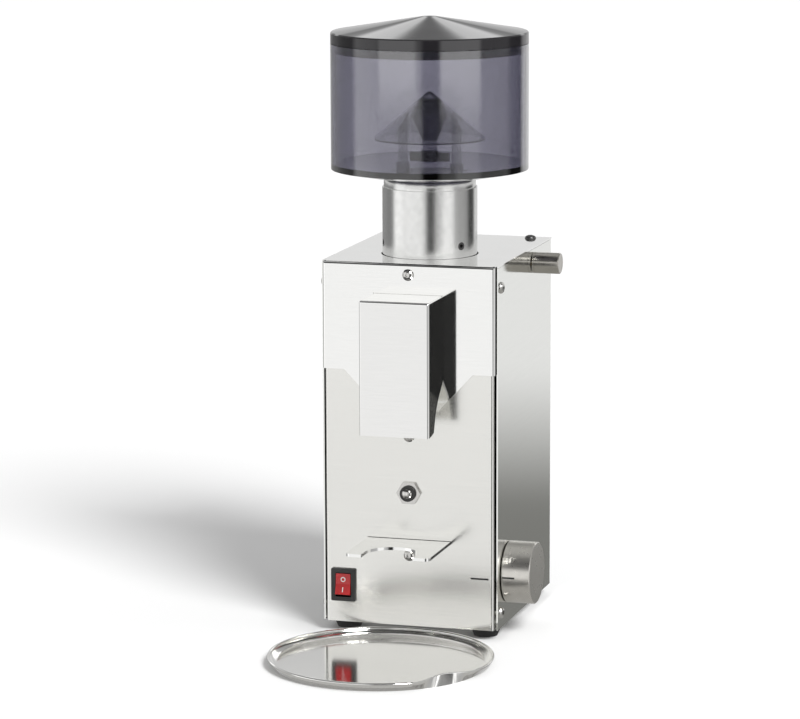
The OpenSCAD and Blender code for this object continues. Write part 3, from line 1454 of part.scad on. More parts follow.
// Cable gland in the back wall
module cable_gland() {
    color("black") difference() {
        union() {
            to_back([gland_x, back_y, gland_z]) rotate_extrude() polygon([[0, 0], [gland_r, 0],
                [gland_r, gland_out / 3], [gland_thread_r, gland_out], [0, gland_out]]);
            to_back([gland_x, back_y - gland_in, gland_z]) cylinder(h = gland_in + over, r = gland_thread_r);
            to_back([gland_x, back_y - sheet - gland_nut_h, gland_z])
                cylinder(h = gland_nut_h, r = gland_r / cos(30), $fn = 6);
        }
        to_back([gland_x, back_y - gland_in - over, gland_z])
            cylinder(h = gland_in + gland_out + 2 * over, r = gland_bore_r);
    }
}

// Round tray: spun dish with a rolled bead, and a notch where the wall is pressed in to pour.
// A section runs from the foot over the bead to the floor; two points in the middle close the floor.
function tray_section(a, r, z, bead) = [for (p = concat([[tray_base_r, 0]],
    [for (t = [-60 : 60 : 240]) [r + bead * cos(t), z + bead * sin(t)]],
    [[tray_base_r - 2 * tray_t, tray_t]])) [p[0] * cos(a), p[0] * sin(a), p[1]]];
function dent(share) = (1 + cos(180 * share)) / 2;
module tray() {
    wall_top = tray_h - tray_bead_r;
    bead_x = tray_r - tray_bead_r;
    rim_turn = (360 - 2 * notch_half_angle) / rim_steps;
    sections = [for (s = notch_shares) let (edge = abs(s) < 1)
        tray_section(s * notch_half_angle, bead_x - (edge ? tray_t / 2 : 0) - notch_in * dent(s),
            wall_top + (notch_rise - tray_t / 2) * dent(s), edge ? tray_t / 2 : tray_bead_r),
        for (k = [1 : rim_steps - 1])
            tray_section(notch_half_angle + k * rim_turn, bead_x, wall_top, tray_bead_r)];
    count = len(sections[0]);
    rings = len(sections);
    color("silver") translate([tray_x, tray_y, 0]) rotate([0, 0, notch_turn]) polyhedron(
        concat([for (ring = sections) each ring], [[0, 0, 0], [0, 0, tray_t]]),
        [for (k = [0 : rings - 1]) let (here = k * count, next = (k + 1) % rings * count)
            each concat([[rings * count, here, next]],
                [[rings * count + 1, next + count - 1, here + count - 1]],
                [for (i = [0 : count - 2]) [here + i, here + i + 1, next + i + 1]],
                [for (i = [0 : count - 2]) [here + i, next + i + 1, next + i]])], convexity = 4);
}

hood();
front_panel();
rear_wrap();
base_plate();
feet();
foot_screws();
foot_nuts();
pillars();
pillar_screws();
chassis_plate();
top_screws();
case_screws();
clinch_nuts();
chute_cover();
chute_duct();
portafilter_fork();
button_nut();
button_housing();
button_spring();
button_plunger();
switch_housing();
rocker();
timer_pot();
timer_pot_nut();
timer_shaft();
timer_knob();
timer_knob_screw();
adjusting_knob();
worm();
adjusting_knob_screw();
worm_bracket();
worm_bracket_screws();
adjusting_ring();
burr_carrier();
upper_burr();
upper_burr_screws();
neck_collar();
neck_screws();
hopper();
bean_guard();
guard_nut();
hopper_lid();
grinding_chamber();
lower_burr();
lower_burr_screws();
burr_hub();
feed_nut();
motor_shaft();
rotor_core();
cooling_fan();
stator_core();
stator_windings();
upper_end_bell();
lower_end_bell();
motor_bearings();
motor_bolts();
timer_board();
run_capacitor();
cable_gland();
tray();
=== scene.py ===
"""Electric coffee grinder, dressed: finishes for every part, printed marks, light and camera."""
import math

import bmesh
import bpy
from mathutils import Matrix, Vector


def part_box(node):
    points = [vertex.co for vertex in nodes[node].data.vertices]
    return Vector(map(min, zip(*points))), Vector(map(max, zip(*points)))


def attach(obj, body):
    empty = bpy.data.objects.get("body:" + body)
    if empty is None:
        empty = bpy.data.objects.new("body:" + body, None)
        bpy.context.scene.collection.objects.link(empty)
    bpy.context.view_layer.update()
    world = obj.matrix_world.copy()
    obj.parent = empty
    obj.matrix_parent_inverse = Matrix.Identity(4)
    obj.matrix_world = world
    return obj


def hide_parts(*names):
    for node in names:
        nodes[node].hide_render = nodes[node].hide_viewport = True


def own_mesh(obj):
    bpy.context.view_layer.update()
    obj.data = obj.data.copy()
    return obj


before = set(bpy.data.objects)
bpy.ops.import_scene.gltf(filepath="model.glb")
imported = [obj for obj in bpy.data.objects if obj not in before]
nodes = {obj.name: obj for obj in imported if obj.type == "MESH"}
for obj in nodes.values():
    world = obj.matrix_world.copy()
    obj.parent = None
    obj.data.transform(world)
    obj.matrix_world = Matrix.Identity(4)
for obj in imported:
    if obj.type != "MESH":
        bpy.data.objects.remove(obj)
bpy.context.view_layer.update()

# Camera: a long lens, a little to the right of the grinder's front and ten degrees above it.
target = Vector((-0.0205, -0.0028, 0.180))
distance = 2.509
azimuth = math.radians(16.47)
elevation = math.radians(10.01)
roll = math.radians(-0.20)
back = Vector((
    math.sin(azimuth) * math.cos(elevation),
    -math.cos(azimuth) * math.cos(elevation),
    math.sin(elevation),
))
level_right = Vector((math.cos(azimuth), math.sin(azimuth), 0))
level_up = back.cross(level_right)
right = level_right * math.cos(roll) + level_up * math.sin(roll)
up = level_up * math.cos(roll) - level_right * math.sin(roll)
camera_data = bpy.data.cameras.new("camera")
camera_data.sensor_width = 36
camera_data.lens = 166.32
camera_data.clip_start = 0.1
camera_data.clip_end = 60
camera = bpy.data.objects.new("camera", camera_data)
bpy.context.scene.collection.objects.link(camera)
camera.matrix_world = Matrix.LocRotScale(
    target + back * distance, Matrix((right, up, back)).transposed().to_quaternion(), None
)
bpy.context.scene.camera = camera
bpy.context.scene.view_settings.view_transform = "Standard"

# Studio: white behind the grinder and an even fill. Polished metal sees pale walls with dark gaps
# between them, two low light banks in front, a dark ceiling and a lit strip high up behind.
world = bpy.data.worlds.new("studio")
bpy.context.scene.world = world
world.use_nodes = True
tree = world.node_tree
tree.nodes.clear()
link = tree.links.new
direction = tree.nodes.new("ShaderNodeTexCoord")
split = tree.nodes.new("ShaderNodeSeparateXYZ")
link(direction.outputs["Generated"], split.inputs[0])


def rise(value, low, high, start=0, end=1):
    """Goes from start to end while the value goes from low to high."""
    node = tree.nodes.new("ShaderNodeMapRange")
    for socket, number in (("From Min", low), ("From Max", high), ("To Min", start), ("To Max", end)):
        node.inputs[socket].default_value = number
    link(value, node.inputs["Value"])
    return node.outputs["Result"]


def product(a, b):
    node = tree.nodes.new("ShaderNodeMath")
    node.operation = "MULTIPLY"
    link(a, node.inputs[0])
    link(b, node.inputs[1])
    return node.outputs[0]


def greys(value, stops):
    """A ramp of greys from stops of place and level."""
    node = tree.nodes.new("ShaderNodeValToRGB")
    ramp = node.color_ramp
    while len(ramp.elements) < len(stops):
        ramp.elements.new(0.5)
    for element, (place, level) in zip(ramp.elements, stops):
        element.position = place
        element.color = (level, level, level, 1)
    link(value, node.inputs[0])
    return node.outputs["Color"]


def by_bearing(*stops):
    """Ramp stops from bearings in degrees: 0 is in front, 90 on the right and 180 behind."""
    return [((bearing + 180) / 360, level) for bearing, level in stops]


def over(factor, lower, upper):
    """Lays the upper colour over the lower one where the factor is 1."""
    node = tree.nodes.new("ShaderNodeMix")
    node.data_type = "RGBA"
    link(factor, node.inputs["Factor"])
    for socket, value in (("A", lower), ("B", upper)):
        if isinstance(value, tuple):
            node.inputs[socket].default_value = value
        else:
            link(value, node.inputs[socket])
    return node.outputs["Result"]


turn = tree.nodes.new("ShaderNodeMath")
turn.operation = "ARCTAN2"
link(split.outputs["X"], turn.inputs[0])
link(rise(split.outputs["Y"], -1, 1, 1, -1), turn.inputs[1])
compass = rise(turn.outputs[0], -math.pi, math.pi)
height = split.outputs["Z"]
upward = rise(height, -1, 1)
walls = greys(compass, by_bearing(
    (-180, 0.76), (-165, 0.62), (-140, 0.30), (-120, 0.34), (-106, 0.26), (-86, 0.24), (-77, 1.35),
    (-52, 1.2), (-44, 0.99), (-5, 0.97), (4, 0.90), (10, 0.02), (24, 0.02), (31, 0.42), (44, 0.58),
    (50, 1.05), (72, 1.0), (80, 0.48), (116, 0.40), (126, 0.03), (146, 0.03), (152, 0.66),
    (158, 0.90), (180, 0.76),
))
corner_bearings = math.radians(120), math.radians(150)
corner_heights = math.sin(math.radians(-10.2)), math.sin(math.radians(-12.2))
corner_grey = (0.21, 0.21, 0.20, 1)
low_corner = product(rise(turn.outputs[0], *corner_bearings), rise(height, *corner_heights))
walls = over(low_corner, walls, corner_grey)
bank_foot = -0.112, -0.098
bank_head = -0.062, -0.076
bank_light = (2.1, 2.1, 2.1, 1)
bank_sides = greys(compass, by_bearing(
    (-47, 0), (-43, 1), (-3, 1), (3, 0), (26, 0), (31, 0.85), (74, 0.85), (79, 0),
))
bank = product(bank_sides, product(rise(height, *bank_foot), rise(height, *bank_head)))
ceiling_edge = 0.12, 0.16
ceiling = [(0.60, 1.15), (0.655, 1.15), (0.675, 0.07), (0.94, 0.08), (0.985, 0.50)]
front = over(rise(height, *ceiling_edge), walls, greys(upward, ceiling))
front = over(bank, front, bank_light)
strip_edge = -0.03, 0.03
strip = [
    (0.60, 0.77), (0.615, 0.42), (0.64, 0.62), (0.655, 1.7), (0.689, 1.7), (0.697, 0.38),
    (0.87, 0.34), (0.93, 0.55),
]
rear = over(rise(height, *strip_edge), walls, greys(upward, strip))
front_to_rear = -0.15, 0.15
round_about = over(rise(split.outputs["Y"], *front_to_rear), front, rear)
floor_edge = -0.32, -0.45
floor_grey = (0.48, 0.475, 0.46, 1)
seen_in_metal = over(rise(height, *floor_edge), round_about, floor_grey)
mirrored = tree.nodes.new("ShaderNodeBackground")
link(seen_in_metal, mirrored.inputs["Color"])
fill = tree.nodes.new("ShaderNodeBackground")
fill.inputs["Color"].default_value = (0.50, 0.50, 0.50, 1)
white = tree.nodes.new("ShaderNodeBackground")
white.inputs["Color"].default_value = (1, 1, 1, 1)
ray = tree.nodes.new("ShaderNodeLightPath")
studio = tree.nodes.new("ShaderNodeMixShader")
link(ray.outputs["Is Glossy Ray"], studio.inputs[0])
link(fill.outputs[0], studio.inputs[1])
link(mirrored.outputs[0], studio.inputs[2])
straight = tree.nodes.new("ShaderNodeMath")
straight.operation = "MAXIMUM"
link(ray.outputs["Is Camera Ray"], straight.inputs[0])
link(ray.outputs["Is Transmission Ray"], straight.inputs[1])
shown = tree.nodes.new("ShaderNodeMixShader")
link(straight.outputs[0], shown.inputs[0])
link(studio.outputs[0], shown.inputs[1])
link(white.outputs[0], shown.inputs[2])
link(shown.outputs[0], tree.nodes.new("ShaderNodeOutputWorld").inputs["Surface"])

# Table: one wide white top that keeps the grinder's shadow. Metal sees the studio in its place.
table_side = 40
table_middle = (0, 15, 0)
bpy.ops.mesh.primitive_plane_add(size=table_side, location=table_middle)
table = bpy.context.object
table.name = "table_top"
table.visible_glossy = False
mat = bpy.data.materials.new("table_white")
mat.use_nodes = True
shader = mat.node_tree.nodes["Principled BSDF"]
shader.inputs["Base Color"].default_value = (0.94, 0.94, 0.94, 1)
shader.inputs["Roughness"].default_value = 0.9
shader.inputs["Specular IOR Level"].default_value = 0
table.data.materials.append(mat)

# Key light: large and soft, from the right in front, so that the shadow falls to the left and back.
towards_key = Vector((0.55, -0.52, 0.656))
key_data = bpy.data.lights.new("key", "SUN")
key_data.energy = 2.85
key_data.angle = math.radians(22)
key = bpy.data.objects.new("key", key_data)
bpy.context.scene.collection.objects.link(key)
key.visible_transmission = False
key.rotation_euler = towards_key.to_track_quat("Z", "Y").to_euler()


# Hood: one stainless sheet, bent over the top and the upper front and polished after bending.
# The polish keeps a trace of the grain that the rolled sheet came with.
def finish(name, colour, metallic, roughness, grain, depth, second=None, uneven=0.04):
    """A material whose noise, stretched by grain (repeats per metre), varies tone, gloss and relief."""
    second_share = 0.93
    mat = bpy.data.materials.new(name)
    mat.use_nodes = True
    tree = mat.node_tree
    shader = tree.nodes["Principled BSDF"]
    shader.inputs["Metallic"].default_value = metallic
    place = tree.nodes.new("ShaderNodeTexCoord")
    stretch = tree.nodes.new("ShaderNodeMapping")
    stretch.inputs["Scale"].default_value = grain
    tree.links.new(place.outputs["Object"], stretch.inputs["Vector"])
    noise = tree.nodes.new("ShaderNodeTexNoise")
    noise.inputs["Scale"].default_value = 1
    noise.inputs["Detail"].default_value = 3
    tree.links.new(stretch.outputs[0], noise.inputs["Vector"])
    tone = tree.nodes.new("ShaderNodeMix")
    tone.data_type = "RGBA"
    tone.inputs["A"].default_value = (*colour, 1)
    tone.inputs["B"].default_value = (*(second or [second_share * part for part in colour]), 1)
    tree.links.new(noise.outputs["Fac"], tone.inputs["Factor"])
    tree.links.new(tone.outputs["Result"], shader.inputs["Base Color"])
    gloss = tree.nodes.new("ShaderNodeMapRange")
    gloss.inputs["To Min"].default_value = max(0, roughness - uneven)
    gloss.inputs["To Max"].default_value = roughness + uneven
    tree.links.new(noise.outputs["Fac"], gloss.inputs["Value"])
    tree.links.new(gloss.outputs[0], shader.inputs["Roughness"])
    relief = tree.nodes.new("ShaderNodeBump")
    relief.inputs["Distance"].default_value = depth
    tree.links.new(noise.outputs["Fac"], relief.inputs["Height"])
    tree.links.new(relief.outputs[0], shader.inputs["Normal"])
    return mat


def dress(material, *names):
    for name in names:
        nodes[name].data.materials.clear()
        nodes[name].data.materials.append(material)


micron = 0.000001
sheet_polish = finish("polished_steel", (0.93, 0.93, 0.915), metallic=1, roughness=0.07,
                      grain=(60, 60, 1500), depth=1.5 * micron, uneven=0.02)
dress(sheet_polish, "hood")


# Chute cover: one sheet folded on a press brake, its top turned back in as tight a bend as its sides.
# The skin makes the bends smooth, and its flats stay flat.
def skin(node):
    """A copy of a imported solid's mesh with its doubled corners merged and its flats made whole."""
    same_point = 0.000002
    same_flat = math.radians(0.4)
    mesh = bmesh.new()
    mesh.from_mesh(nodes[node].data)
    bmesh.ops.remove_doubles(mesh, verts=mesh.verts, dist=same_point)
    bmesh.ops.dissolve_limit(mesh, angle_limit=same_flat, verts=mesh.verts, edges=mesh.edges)
    return mesh


def stand_for(name, mesh, node, body, material, crease):
    """Turns the skin into a piece in the solid's place, smooth but for edges sharper than crease."""
    for face in mesh.faces:
        face.smooth = True
    for edge in mesh.edges:
        edge.smooth = len(edge.link_faces) != 2 or edge.calc_face_angle() < math.radians(crease)
    data = bpy.data.meshes.new(name)
    mesh.to_mesh(data)
    mesh.free()
    data.materials.append(material)
    piece = bpy.data.objects.new(name, data)
    bpy.context.scene.collection.objects.link(piece)
    flats = piece.modifiers.new("keep_flats_flat", "WEIGHTED_NORMAL")
    flats.weight = 100
    flats.keep_sharp = True
    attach(piece, body)
    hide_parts(node)
    return piece


cover_polish = finish("cover_steel", (0.87, 0.867, 0.855), metallic=1, roughness=0.07,
                      grain=(60, 60, 1500), depth=1.5 * micron, uneven=0.02)
top_bend = 0.0014
off_the_hood = 0.003
same_level = 0.0001
sharp_corner = math.radians(60)
mesh = skin("chute_cover")
in_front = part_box("hood")[0].y - off_the_hood
cover_top = max(vertex.co.z for vertex in mesh.verts if vertex.co.y < in_front)
rim = [
    edge for edge in mesh.edges
    if all(abs(vertex.co.z - cover_top) < same_level for vertex in edge.verts)
    and min(vertex.co.y for vertex in edge.verts) < in_front
    and len(edge.link_faces) == 2 and edge.calc_face_angle() > sharp_corner
]
bmesh.ops.bevel(mesh, geom=rim, offset=top_bend, offset_type="OFFSET", segments=4, profile=0.5,
                affect="EDGES", material=-1, clamp_overlap=False)
bmesh.ops.recalc_face_normals(mesh, faces=mesh.faces)
stand_for("folded_chute_cover", mesh, "chute_cover", "case", cover_polish, crease=40)

# Holder fork: a cut sheet tongue that is polished like the hood.
fork_polish = finish("fork_steel", (0.93, 0.93, 0.915), metallic=1, roughness=0.10,
                     grain=(60, 900, 60), depth=1.5 * micron)
dress(fork_polish, "portafilter_fork")

# Front panel: the same sheet left with its fine level grain, so that what it mirrors goes soft
# a little way off.
panel_brush = finish("brushed_steel", (0.79, 0.785, 0.755), metallic=1, roughness=0.19,
                     grain=(25, 25, 1600), depth=2 * micron)
dress(panel_brush, "front_panel")

# Rear wrap: one sheet folded round the sides and the back, satin but bright.
wrap_satin = finish("satin_steel", (0.88, 0.885, 0.855), metallic=1, roughness=0.09,
                    grain=(40, 40, 1500), depth=1.2 * micron, uneven=0.015)
dress(wrap_satin, "rear_wrap")


# Burr carrier: aluminium bar, turned on a lathe, as the collar and both knobs are. Fine rings from
# the tool run round each one's own axis, on its side and on its end.
def turned(name, colour, roughness, centre, axis, rings, depth):
    """A turned metal with rings (per metre) round the axis through centre, and cloudy patches."""
    patch_share = 0.86
    patch_gloss = 0.05
    patches = 260
    mat = bpy.data.materials.new(name)
    mat.use_nodes = True
    tree = mat.node_tree
    shader = tree.nodes["Principled BSDF"]
    shader.inputs["Metallic"].default_value = 1
    place = tree.nodes.new("ShaderNodeTexCoord")
    shift = tree.nodes.new("ShaderNodeMapping")
    shift.inputs["Location"].default_value = [-part for part in centre]
    tree.links.new(place.outputs["Object"], shift.inputs["Vector"])
    split = tree.nodes.new("ShaderNodeSeparateXYZ")
    tree.links.new(shift.outputs[0], split.inputs[0])
    radial = tree.nodes.new("ShaderNodeCombineXYZ")
    for part in "XYZ":
        if part != axis:
            tree.links.new(split.outputs[part], radial.inputs[part])
    length = tree.nodes.new("ShaderNodeVectorMath")
    length.operation = "LENGTH"
    tree.links.new(radial.outputs[0], length.inputs[0])
    path = tree.nodes.new("ShaderNodeMath")
    tree.links.new(length.outputs["Value"], path.inputs[0])
    tree.links.new(split.outputs[axis], path.inputs[1])
    cut = tree.nodes.new("ShaderNodeTexNoise")
    cut.noise_dimensions = "1D"
    cut.inputs["Scale"].default_value = rings
    cut.inputs["Detail"].default_value = 3
    tree.links.new(path.outputs[0], cut.inputs["W"])
    cloud = tree.nodes.new("ShaderNodeTexNoise")
    cloud.inputs["Scale"].default_value = patches
    cloud.inputs["Detail"].default_value = 4
    tree.links.new(shift.outputs[0], cloud.inputs["Vector"])
    tone = tree.nodes.new("ShaderNodeMix")
    tone.data_type = "RGBA"
    tone.inputs["A"].default_value = (*colour, 1)
    tone.inputs["B"].default_value = (*[patch_share * part for part in colour], 1)
    tree.links.new(cloud.outputs["Fac"], tone.inputs["Factor"])
    tree.links.new(tone.outputs["Result"], shader.inputs["Base Color"])
    gloss = tree.nodes.new("ShaderNodeMapRange")
    gloss.inputs["To Min"].default_value = roughness - patch_gloss
    gloss.inputs["To Max"].default_value = roughness + patch_gloss
    tree.links.new(cloud.outputs["Fac"], gloss.inputs["Value"])
    tree.links.new(gloss.outputs[0], shader.inputs["Roughness"])
    relief = tree.nodes.new("ShaderNodeBump")
    relief.inputs["Distance"].default_value = depth
    tree.links.new(cut.outputs["Fac"], relief.inputs["Height"])
    tree.links.new(relief.outputs[0], shader.inputs["Normal"])
    return mat


neck_turned = turned("turned_aluminium", (0.74, 0.74, 0.73), roughness=0.23, centre=(0, 0, 0),
                     axis="Z", rings=1400, depth=14 * micron)
dress(neck_turned, "burr_carrier")

# Neck collar: the same bar. The skin has the groove a little lower than the solid has it, and above
# the groove the last few millimetres are turned to a slight taper.
collar_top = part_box("neck_collar")[1].z
past_the_bore = 0.0308
outer_side = 0.0318
groove_starts, groove_ends = 0.0028, 0.0040
upper_edge_ends = 0.0032
taper_foot = 0.0310
groove_floor = 0.0304
groove_drop = 0.0016
mesh = skin("neck_collar")
for vertex in mesh.verts:
    radius = math.hypot(vertex.co.x, vertex.co.y)
    below = collar_top - vertex.co.z
    if radius > past_the_bore and groove_starts < below < groove_ends:
        wanted = radius
        if radius <= outer_side:
            wanted = groove_floor
        elif below < upper_edge_ends:
            wanted = taper_foot
        vertex.co.x *= wanted / radius
        vertex.co.y *= wanted / radius
        vertex.co.z -= groove_drop
stand_for("turned_neck_collar", mesh, "neck_collar", "adjuster", neck_turned,
          crease=25)


# Timer knob: a short drum of the same bar, held on the timer's shaft by a grub screw. The rings on
# its end are coarse enough to spread the light.
def middle(name):
    low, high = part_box(name)
    return [(a + b) / 2 for a, b in zip(low, high)]


knob_turned = turned("turned_knob", (0.70, 0.68, 0.64), roughness=0.29, centre=middle("timer_knob"),
                     axis="X", rings=900, depth=40 * micron)
dress(knob_turned, "timer_knob")

# Adjusting knob: a slim stem of darker bar, turned finely.
stem_turned = turned("knob_metal", (0.52, 0.50, 0.46), roughness=0.24,
                     centre=middle("adjusting_knob"), axis="X", rings=1500, depth=10 * micron)
dress(stem_turned, "adjusting_knob")


# Index marks: a fine black line on the panel and one on the timer knob. They meet at the rest
# setting. Each is a thin print that follows the surface under it.
def print_on(name, mesh, node, body, material):
    """Lays the flat print onto the front of a part and gives it its thickness."""
    thickness = 0.00006
    sunk = 0.5 * thickness
    proud = thickness
    for vertex in mesh.verts:
        before = Vector((vertex.co.x, -1, vertex.co.z))
        _, spot, _, _ = nodes[node].ray_cast(before, Vector((0, 1, 0)))
        vertex.co.y = spot.y + sunk
    front_faces = bmesh.ops.extrude_face_region(mesh, geom=mesh.faces[:])["geom"]
    moved = [item for item in front_faces if isinstance(item, bmesh.types.BMVert)]
    bmesh.ops.translate(mesh, verts=moved, vec=(0, -sunk - proud, 0))
    bmesh.ops.recalc_face_normals(mesh, faces=mesh.faces)
    data = bpy.data.meshes.new(name)
    mesh.to_mesh(data)
    mesh.free()
    data.materials.append(material)
    piece = bpy.data.objects.new(name, data)
    bpy.context.scene.collection.objects.link(piece)
    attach(piece, body)


def bar(width, length, x, z, columns, rows):
    """A flat bar that faces the front, in cells small enough to follow a curved surface."""
    mesh = bmesh.new()
    bmesh.ops.create_grid(mesh, x_segments=columns, y_segments=rows, size=0.5)
    bmesh.ops.scale(mesh, vec=(width, length, 1), verts=mesh.verts)
    bmesh.ops.rotate(mesh, matrix=Matrix.Rotation(math.radians(90), 3, "X"), verts=mesh.verts)
    bmesh.ops.translate(mesh, vec=(x, 0, z), verts=mesh.verts)
    return mesh


mark_black = finish("index_black", (0.012, 0.012, 0.012), metallic=0, roughness=0.4,
                    grain=(900, 900, 900), depth=4 * micron)
line_z = 0.0427
line_width = 0.0012
for name, start, end, node, body in (
    ("panel_index_line", 0.0426, 0.0550, "front_panel", "case"),
    ("knob_index_line", 0.0610, 0.0708, "timer_knob", "timer_dial"),
):
    line = bar(end - start, line_width, (start + end) / 2, line_z, columns=8, rows=2)
    print_on(name, line, node, body, mark_black)

# Rocker: glossy red plastic, with a white ring for off above and a white bar for on below.
rocker_red = finish("red_plastic", (0.50, 0.022, 0.024), metallic=0, roughness=0.20,
                    grain=(220, 220, 220), depth=4 * micron, second=(0.42, 0.014, 0.016))
dress(rocker_red, "rocker")
mark_white = finish("mark_white", (0.86, 0.85, 0.84), metallic=0, roughness=0.4,
                    grain=(900, 900, 900), depth=4 * micron)
rocker_x, _, rocker_z = middle("rocker")
mark_off_middle = 0.0034
ring_outer = 0.0017
ring_inner = 0.0011
bar_width = 0.0006
bar_length = 0.0032
mesh = bmesh.new()
spoke = [mesh.verts.new((radius, 0, 0)) for radius in (ring_inner, ring_outer)]
mesh.edges.new(spoke)
bmesh.ops.spin(mesh, geom=mesh.verts[:] + mesh.edges[:], cent=(0, 0, 0), axis=(0, 1, 0),
               angle=math.tau, steps=32, use_merge=True)
bmesh.ops.translate(mesh, vec=(rocker_x, 0, rocker_z + mark_off_middle), verts=mesh.verts)
print_on("rocker_off_ring", mesh, "rocker", "rocker", mark_white)
mesh = bar(bar_width, bar_length, rocker_x, rocker_z - mark_off_middle, columns=2, rows=6)
print_on("rocker_on_bar", mesh, "rocker", "rocker", mark_white)

# Drip tray: a round of stainless sheet, pressed, its rim rolled to a bead and dented at one side.
# The pressing is one smooth skin over the solid's facets, flat across the floor.
tray_polish = finish("tray_steel", (0.90, 0.895, 0.875), metallic=1, roughness=0.11,
                     grain=(500, 500, 500), depth=micron, uneven=0.03)
stand_for("pressed_tray", skin("tray"), "tray", "tray", tray_polish, crease=70)


# Hopper and bean guard: clear plastic with a violet-grey tint all through, moulded and polished.
# Thick and slanting walls look darker.
def tinted(name, tint, density):
    mat = bpy.data.materials.new(name)
    mat.use_nodes = True
    tree = mat.node_tree
    shader = tree.nodes["Principled BSDF"]
    shader.inputs["Base Color"].default_value = (1, 1, 1, 1)
    shader.inputs["IOR"].default_value = 1.49
    shader.inputs["Transmission Weight"].default_value = 1
    shader.inputs["Coat Weight"].default_value = 0.8
    shader.inputs["Coat Roughness"].default_value = 0.02
    shader.inputs["Coat IOR"].default_value = 1.75
    place = tree.nodes.new("ShaderNodeTexCoord")
    flow = tree.nodes.new("ShaderNodeTexNoise")
    flow.inputs["Scale"].default_value = 60
    tree.links.new(place.outputs["Object"], flow.inputs["Vector"])
    gloss = tree.nodes.new("ShaderNodeMapRange")
    gloss.inputs["To Min"].default_value = 0.004
    gloss.inputs["To Max"].default_value = 0.03
    tree.links.new(flow.outputs["Fac"], gloss.inputs["Value"])
    tree.links.new(gloss.outputs[0], shader.inputs["Roughness"])
    depth = tree.nodes.new("ShaderNodeVolumeAbsorption")
    depth.inputs["Color"].default_value = (*tint, 1)
    depth.inputs["Density"].default_value = density
    tree.links.new(depth.outputs[0], tree.nodes["Material Output"].inputs["Volume"])
    return mat


violet_grey = (0.30, 0.29, 0.40)
smoke = tinted("smoked_plastic", violet_grey, density=400)
dress(smoke, "hopper")
thin_smoke = tinted("guard_plastic", violet_grey, density=170)
dress(thin_smoke, "bean_guard")

# Hopper lid and guard nut: the same plastic, smoked almost to black.
dark_smoke = finish("dark_smoked_plastic", (0.016, 0.015, 0.017), metallic=0, roughness=0.04,
                    grain=(60, 60, 60), depth=micron, uneven=0.02)
dark_smoke.node_tree.nodes["Principled BSDF"].inputs["IOR"].default_value = 1.49
dress(dark_smoke, "hopper_lid", "guard_nut")

# Bright screws, nuts, push button and timer shaft: stainless steel, cold headed or turned.
bright_steel = finish("screw_steel", (0.62, 0.61, 0.59), metallic=1, roughness=0.17,
                      grain=(1500, 1500, 1500), depth=2 * micron)
dress(bright_steel, "case_screws", "button_nut", "button_plunger", "timer_pot_nut",
      "timer_shaft", "upper_burr_screws", "lower_burr_screws", "feed_nut")

# Top screws, set screws of the neck and knob screws: blackened steel with a dull sheen.
dark_steel = finish("dark_screw", (0.035, 0.034, 0.034), metallic=0, roughness=0.30,
                    grain=(1500, 1500, 1500), depth=3 * micron)
dress(dark_steel, "top_screws", "neck_screws", "timer_knob_screw", "adjusting_knob_screw")

# Zinc-plated hardware, motor shaft and bearings: blue-white plate, a little cloudy.
zinc = finish("zinc_steel", (0.66, 0.67, 0.68), metallic=1, roughness=0.26, grain=(500, 500, 500),
              depth=4 * micron, second=(0.54, 0.55, 0.54), uneven=0.08)
dress(zinc, "foot_screws", "foot_nuts", "pillar_screws", "clinch_nuts", "worm_bracket_screws",
      "motor_bolts", "motor_bearings", "motor_shaft")

# Button spring: a coil of wire behind the plunger, in the same bright plate. The end of the housing
# stops it, so pressing the real button squeezes it; this piece is not squeezed and gets a mesh of its
# own.
spring = stand_for("coiled_button_spring", skin("button_spring"), "button_spring", "button",
                   zinc, crease=80)
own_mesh(spring)

# Base plate, chassis plate, worm bracket and pillars: plain sheet and bar with a matt mill finish.
mill_steel = finish("plate_steel", (0.60, 0.60, 0.59), metallic=1, roughness=0.34,
                    grain=(30, 700, 700), depth=5 * micron, second=(0.52, 0.52, 0.51), uneven=0.07)
dress(mill_steel, "base_plate", "chassis_plate", "worm_bracket", "pillars")

# Chute duct, grinding chamber, end bells and burr hub: aluminium castings with a fine sandy skin.
casting = finish("cast_aluminium", (0.62, 0.62, 0.61), metallic=1, roughness=0.46,
                 grain=(1400, 1400, 1400), depth=40 * micron, second=(0.50, 0.50, 0.49), uneven=0.10)
dress(casting, "chute_duct", "grinding_chamber", "upper_end_bell", "lower_end_bell", "burr_hub")

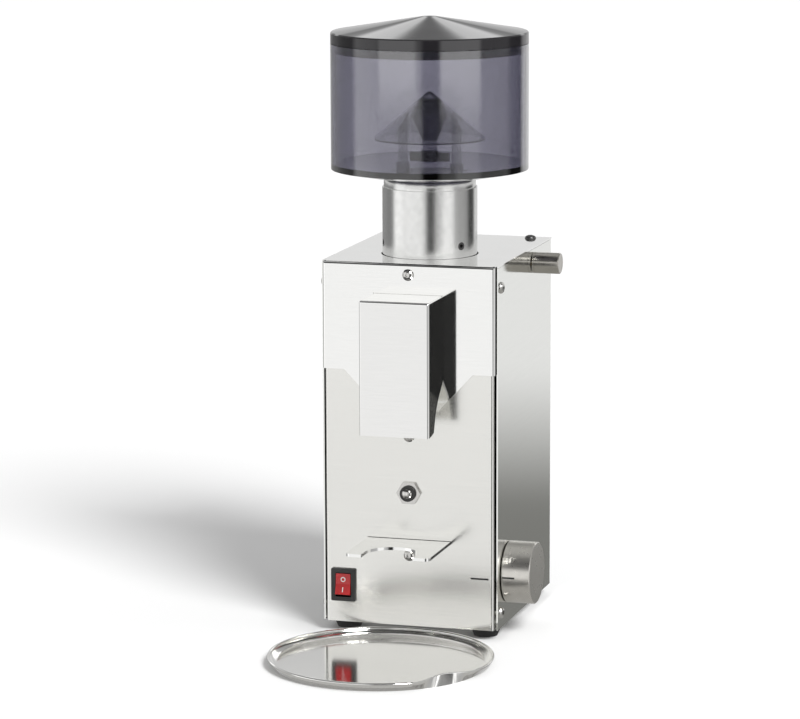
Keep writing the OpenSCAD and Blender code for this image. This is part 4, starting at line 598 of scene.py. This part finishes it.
# Burrs: hardened steel rings, ground on the teeth and grey from heat treatment elsewhere.
burr_steel = finish("burr_steel", (0.46, 0.46, 0.47), metallic=1, roughness=0.28,
                    grain=(900, 900, 900), depth=6 * micron, second=(0.36, 0.35, 0.35), uneven=0.08)
dress(burr_steel, "upper_burr", "lower_burr")

# Adjusting ring and worm: machined brass with a thin film of grease.
brass = finish("gear_brass", (0.80, 0.58, 0.27), metallic=1, roughness=0.24, grain=(700, 700, 700),
               depth=4 * micron, second=(0.66, 0.46, 0.20), uneven=0.07)
dress(brass, "adjusting_ring", "worm")

# Stator and rotor cores: thin steel laminations pressed into stacks, edges showing as level lines.
laminations = finish("lamination_steel", (0.30, 0.30, 0.31), metallic=1, roughness=0.42,
                     grain=(120, 120, 1900), depth=80 * micron, second=(0.18, 0.18, 0.19),
                     uneven=0.08)
dress(laminations, "stator_core", "rotor_core")

# Stator windings: enamelled copper wire, laced into bundles.
copper = finish("winding_copper", (0.50, 0.20, 0.075), metallic=1, roughness=0.30,
                grain=(300, 300, 1300), depth=150 * micron, second=(0.34, 0.12, 0.045), uneven=0.08)
dress(copper, "stator_windings")

# Switch housing, button housing, cable gland and fan: moulded black nylon, finely textured.
black_nylon = finish("black_plastic", (0.020, 0.020, 0.019), metallic=0, roughness=0.38,
                     grain=(2200, 2200, 2200), depth=10 * micron, second=(0.014, 0.014, 0.014),
                     uneven=0.06)
dress(black_nylon, "switch_housing", "button_housing", "cable_gland", "cooling_fan")

# Timer board and potentiometer: green laminate with darker tracks and a matt mask.
board = finish("board_green", (0.020, 0.16, 0.065), metallic=0, roughness=0.36,
               grain=(350, 350, 350), depth=8 * micron, second=(0.010, 0.085, 0.035), uneven=0.08)
dress(board, "timer_board", "timer_pot")

# Run capacitor: a white plastic can, smooth and a little yellowed.
can = finish("capacitor_white", (0.78, 0.77, 0.72), metallic=0, roughness=0.30,
             grain=(250, 250, 250), depth=4 * micron, second=(0.72, 0.70, 0.64))
dress(can, "run_capacitor")

# Feet: moulded black rubber, dull and slightly grained.
rubber = finish("foot_rubber", (0.013, 0.013, 0.013), metallic=0, roughness=0.68,
                grain=(1600, 1600, 1600), depth=30 * micron, uneven=0.08)
dress(rubber, "feet")
